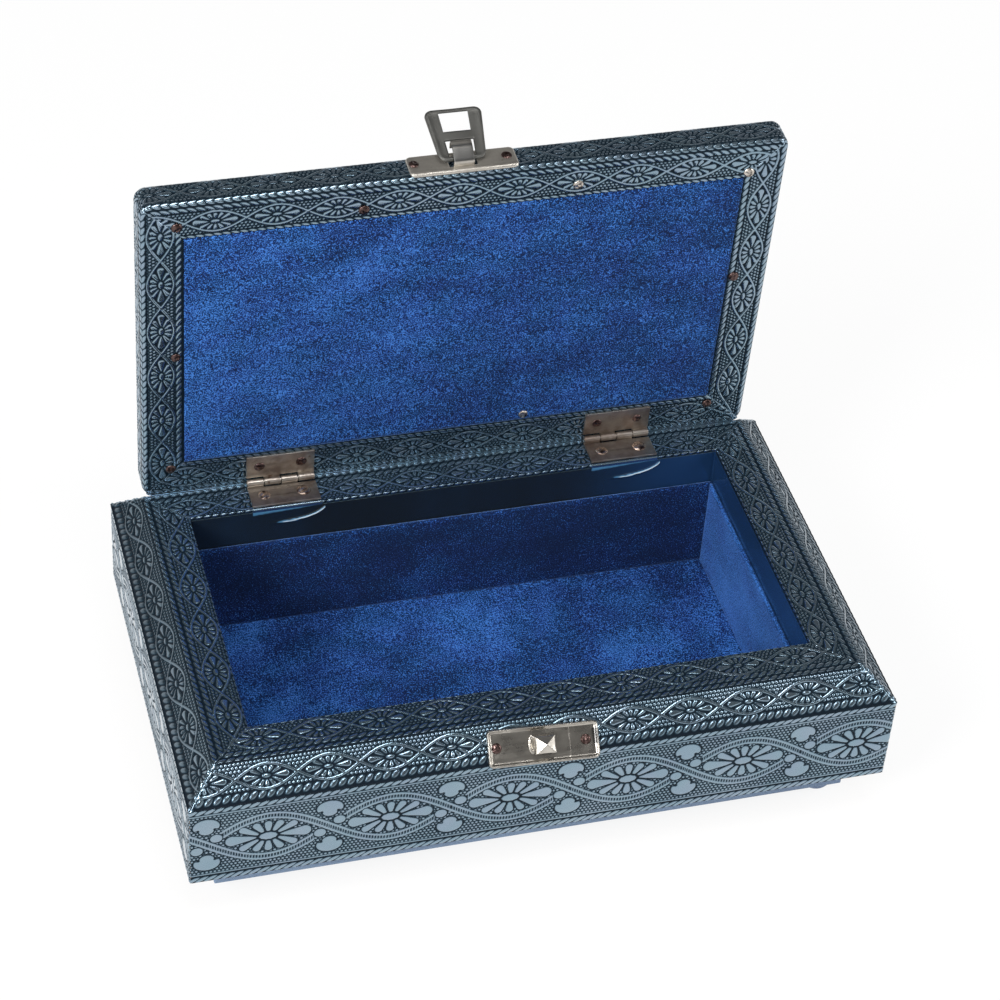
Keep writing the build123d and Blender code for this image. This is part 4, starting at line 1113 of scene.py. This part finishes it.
def makeFeet():
    # domed feet: tall (1 - (r / radius)^power)^0.5 below the board; the front left one was glued on further back
    radius = feet["radius"]
    line = np.linspace(-radius, radius, 21)
    x, y, _ = rounded(*np.meshgrid(line, line), radius, radius, radius)
    z = feet["tall"] * np.sqrt(np.clip(1 - (np.hypot(x, y) / radius) ** feet["power"], 0, 1))
    low, high = (1000 * np.array(corner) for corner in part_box("feet"))
    shells = []
    for fx in (low[0] + radius, high[0] - radius):
        for fy in (low[1] + radius + (feet["leftBack"] if fx < 0 else feet["rightBack"]), high[1] - radius):
            spot = (np.array([fx, fy, feet["tall"]]), -baseAxes["x"], baseAxes["y"], -baseAxes["up"])
            shells.append(plateShell(spot, x, y, z, -0.05))
    hardware("domed_feet", shells, "feet", "base", "foot")


lidCore()
print("hardware modelled")


def dress(node, finish, round=0.0, segments=2):  # a CAD piece gets its finish, and edges rounded by so many mm
    piece = nodes[node]
    piece.data.materials.clear()
    piece.data.materials.append(finish)
    if round:
        weld = piece.modifiers.new("weld", "WELD")
        weld.merge_threshold = 0.000002
        bevel = piece.modifiers.new("round", "BEVEL")
        bevel.width, bevel.segments = round / 1000, segments
        bevel.limit_method, bevel.angle_limit = "ANGLE", math.radians(35)
        even = piece.modifiers.new("even", "WEIGHTED_NORMAL")
        even.keep_sharp = True


for node in nodes:
    if node.endswith(("panel", "moulding")):
        dress(node, finishes["wood"], 1.2 if node.endswith("moulding") else 0.0, 1)
dress("bottom_board", finishes["board"], 0.4)
makeFeet()
for side in ("left", "right"):
    dress(f"{side}_base_leaf", finishes["leaf"], 0.1)
    dress(f"{side}_lid_leaf", finishes["leaf"], 0.1)
    dress(f"{side}_hinge_pin", finishes["bright"])
print("hardware dressed")


# lamps: where they stand in metres, width, height, watts; all of them face the target
stageLook = {"floor": 1600.0, "floorColour": (0.82, 0.82, 0.82), "shadowKept": 0.13, "ceiling": 0.105,
             "ceilingFrom": (0.10, 0.45), "fill": 0.55, "target": (0, 0, 0.05),
             "lamps": {"key": ((-0.84, -0.60, 0.82), 0.46, 0.46, 14), "side": ((0.9, -0.35, 0.50), 0.3, 0.5, 4),
                       "top": ((-0.03, -0.30, 1.1), 0.42, 0.32, 4.3)}}


def makeFloor():
    # a wide pale plane: most of what the camera and mirrors see of it is plain white, the rest keeps the shadow
    corners = np.array([[-1, -1, 0], [1, -1, 0], [1, 1, 0], [-1, 1, 0]]) * stageLook["floor"]
    f = Finish("pale floor")
    camera, glossy, glass = f.rays("Is Camera Ray", "Is Glossy Ray", "Is Transmission Ray")
    seen = f.clamp(camera + glossy + glass)
    plain = f.node("ShaderNodeBsdfDiffuse", {}, {"Color": (*stageLook["floorColour"], 1.0)})
    white = f.node("ShaderNodeEmission", {}, {"Color": (1, 1, 1, 1), "Strength": 1.0})
    both = f.node("ShaderNodeMixShader", {}, {0: seen * (1 - stageLook["shadowKept"]), 1: plain, 2: white})
    f.node("ShaderNodeOutputMaterial", {}, {"Surface": both})
    floor = meshFromLoops("floor", corners, np.arange(4), np.array([4]), [f.owner], smoothFaces=False)


def makeWorld():
    # white to the camera; mirrors see white near the horizon and a dim ceiling above
    world = bpy.data.worlds.new("studio")
    bpy.context.scene.world = world
    f = Finish("studio", world)
    camera, glossy, glass = f.rays("Is Camera Ray", "Is Glossy Ray", "Is Transmission Ray")
    upward = f.split(f.node("ShaderNodeTexCoord"), 2)
    mirror = 1.0 - f.between(upward, *stageLook["ceilingFrom"]) * (1.0 - stageLook["ceiling"])
    matt = (1 - f.clamp(glossy + glass)) * stageLook["fill"]
    strength = camera + (1 - camera) * (glossy * mirror + glass + matt)
    back = f.node("ShaderNodeBackground", {}, {"Color": (1, 1, 1, 1), "Strength": strength})
    f.node("ShaderNodeOutputWorld", {}, {"Surface": back})


def setUp(name, data, across, up, toward, place):  # an object whose x, y and z axes are across, up and toward
    piece = bpy.data.objects.new(name, data)
    bpy.context.scene.collection.objects.link(piece)
    matrix = np.eye(4)
    matrix[:3] = np.stack([across, up, toward, place], 1)
    piece.matrix_world = Matrix(matrix.tolist())
    return piece


def softbox(name, place, wide, tall, watts):  # a rectangular lamp that shines straight at the target
    lamp = bpy.data.lights.new(name, "AREA")
    lamp.shape, lamp.size, lamp.size_y, lamp.energy = "RECTANGLE", wide, tall, watts
    away = np.array(place, float) - np.array(stageLook["target"], float)
    away = away / np.linalg.norm(away)
    side = np.cross((0, 0, 1.0), away)
    side = side / np.linalg.norm(side)
    setUp(name, lamp, side, np.cross(away, side), away, place)


# focal length in pixels of the 1000 pixel frame, angles in degrees, place in metres
photoView = {"focal": 2966.3, "frame": 1000, "sensor": 36.0, "azimuth": 17.854, "elevation": 41.384, "roll": 4.379,
             "place": (-0.19242, -0.59584, 0.63573)}


def makeCamera():  # the photo's view: turned by azimuth, tipped by elevation, then rolled about the line of sight
    az, el, roll = (math.radians(photoView[key]) for key in ("azimuth", "elevation", "roll"))
    ahead = np.array([math.sin(az) * math.cos(el), math.cos(az) * math.cos(el), -math.sin(el)])
    right = np.array([math.cos(az), -math.sin(az), 0.0])
    up = np.cross(right, ahead)
    camera = bpy.data.cameras.new("camera")
    camera.sensor_width = photoView["sensor"]
    camera.lens = photoView["focal"] * photoView["sensor"] / photoView["frame"]
    camera.sensor_fit = "HORIZONTAL"
    camera.clip_start, camera.clip_end = 0.05, 10.0
    bpy.context.scene.camera = setUp("camera", camera, math.cos(roll) * right + math.sin(roll) * up,
                                     -math.sin(roll) * right + math.cos(roll) * up, -ahead, photoView["place"])


makeFloor()
makeWorld()
for name, lamp in stageLook["lamps"].items():
    softbox(name, *lamp)
makeCamera()
bpy.context.scene.view_settings.view_transform = "Standard"
print("floor, light and camera set")
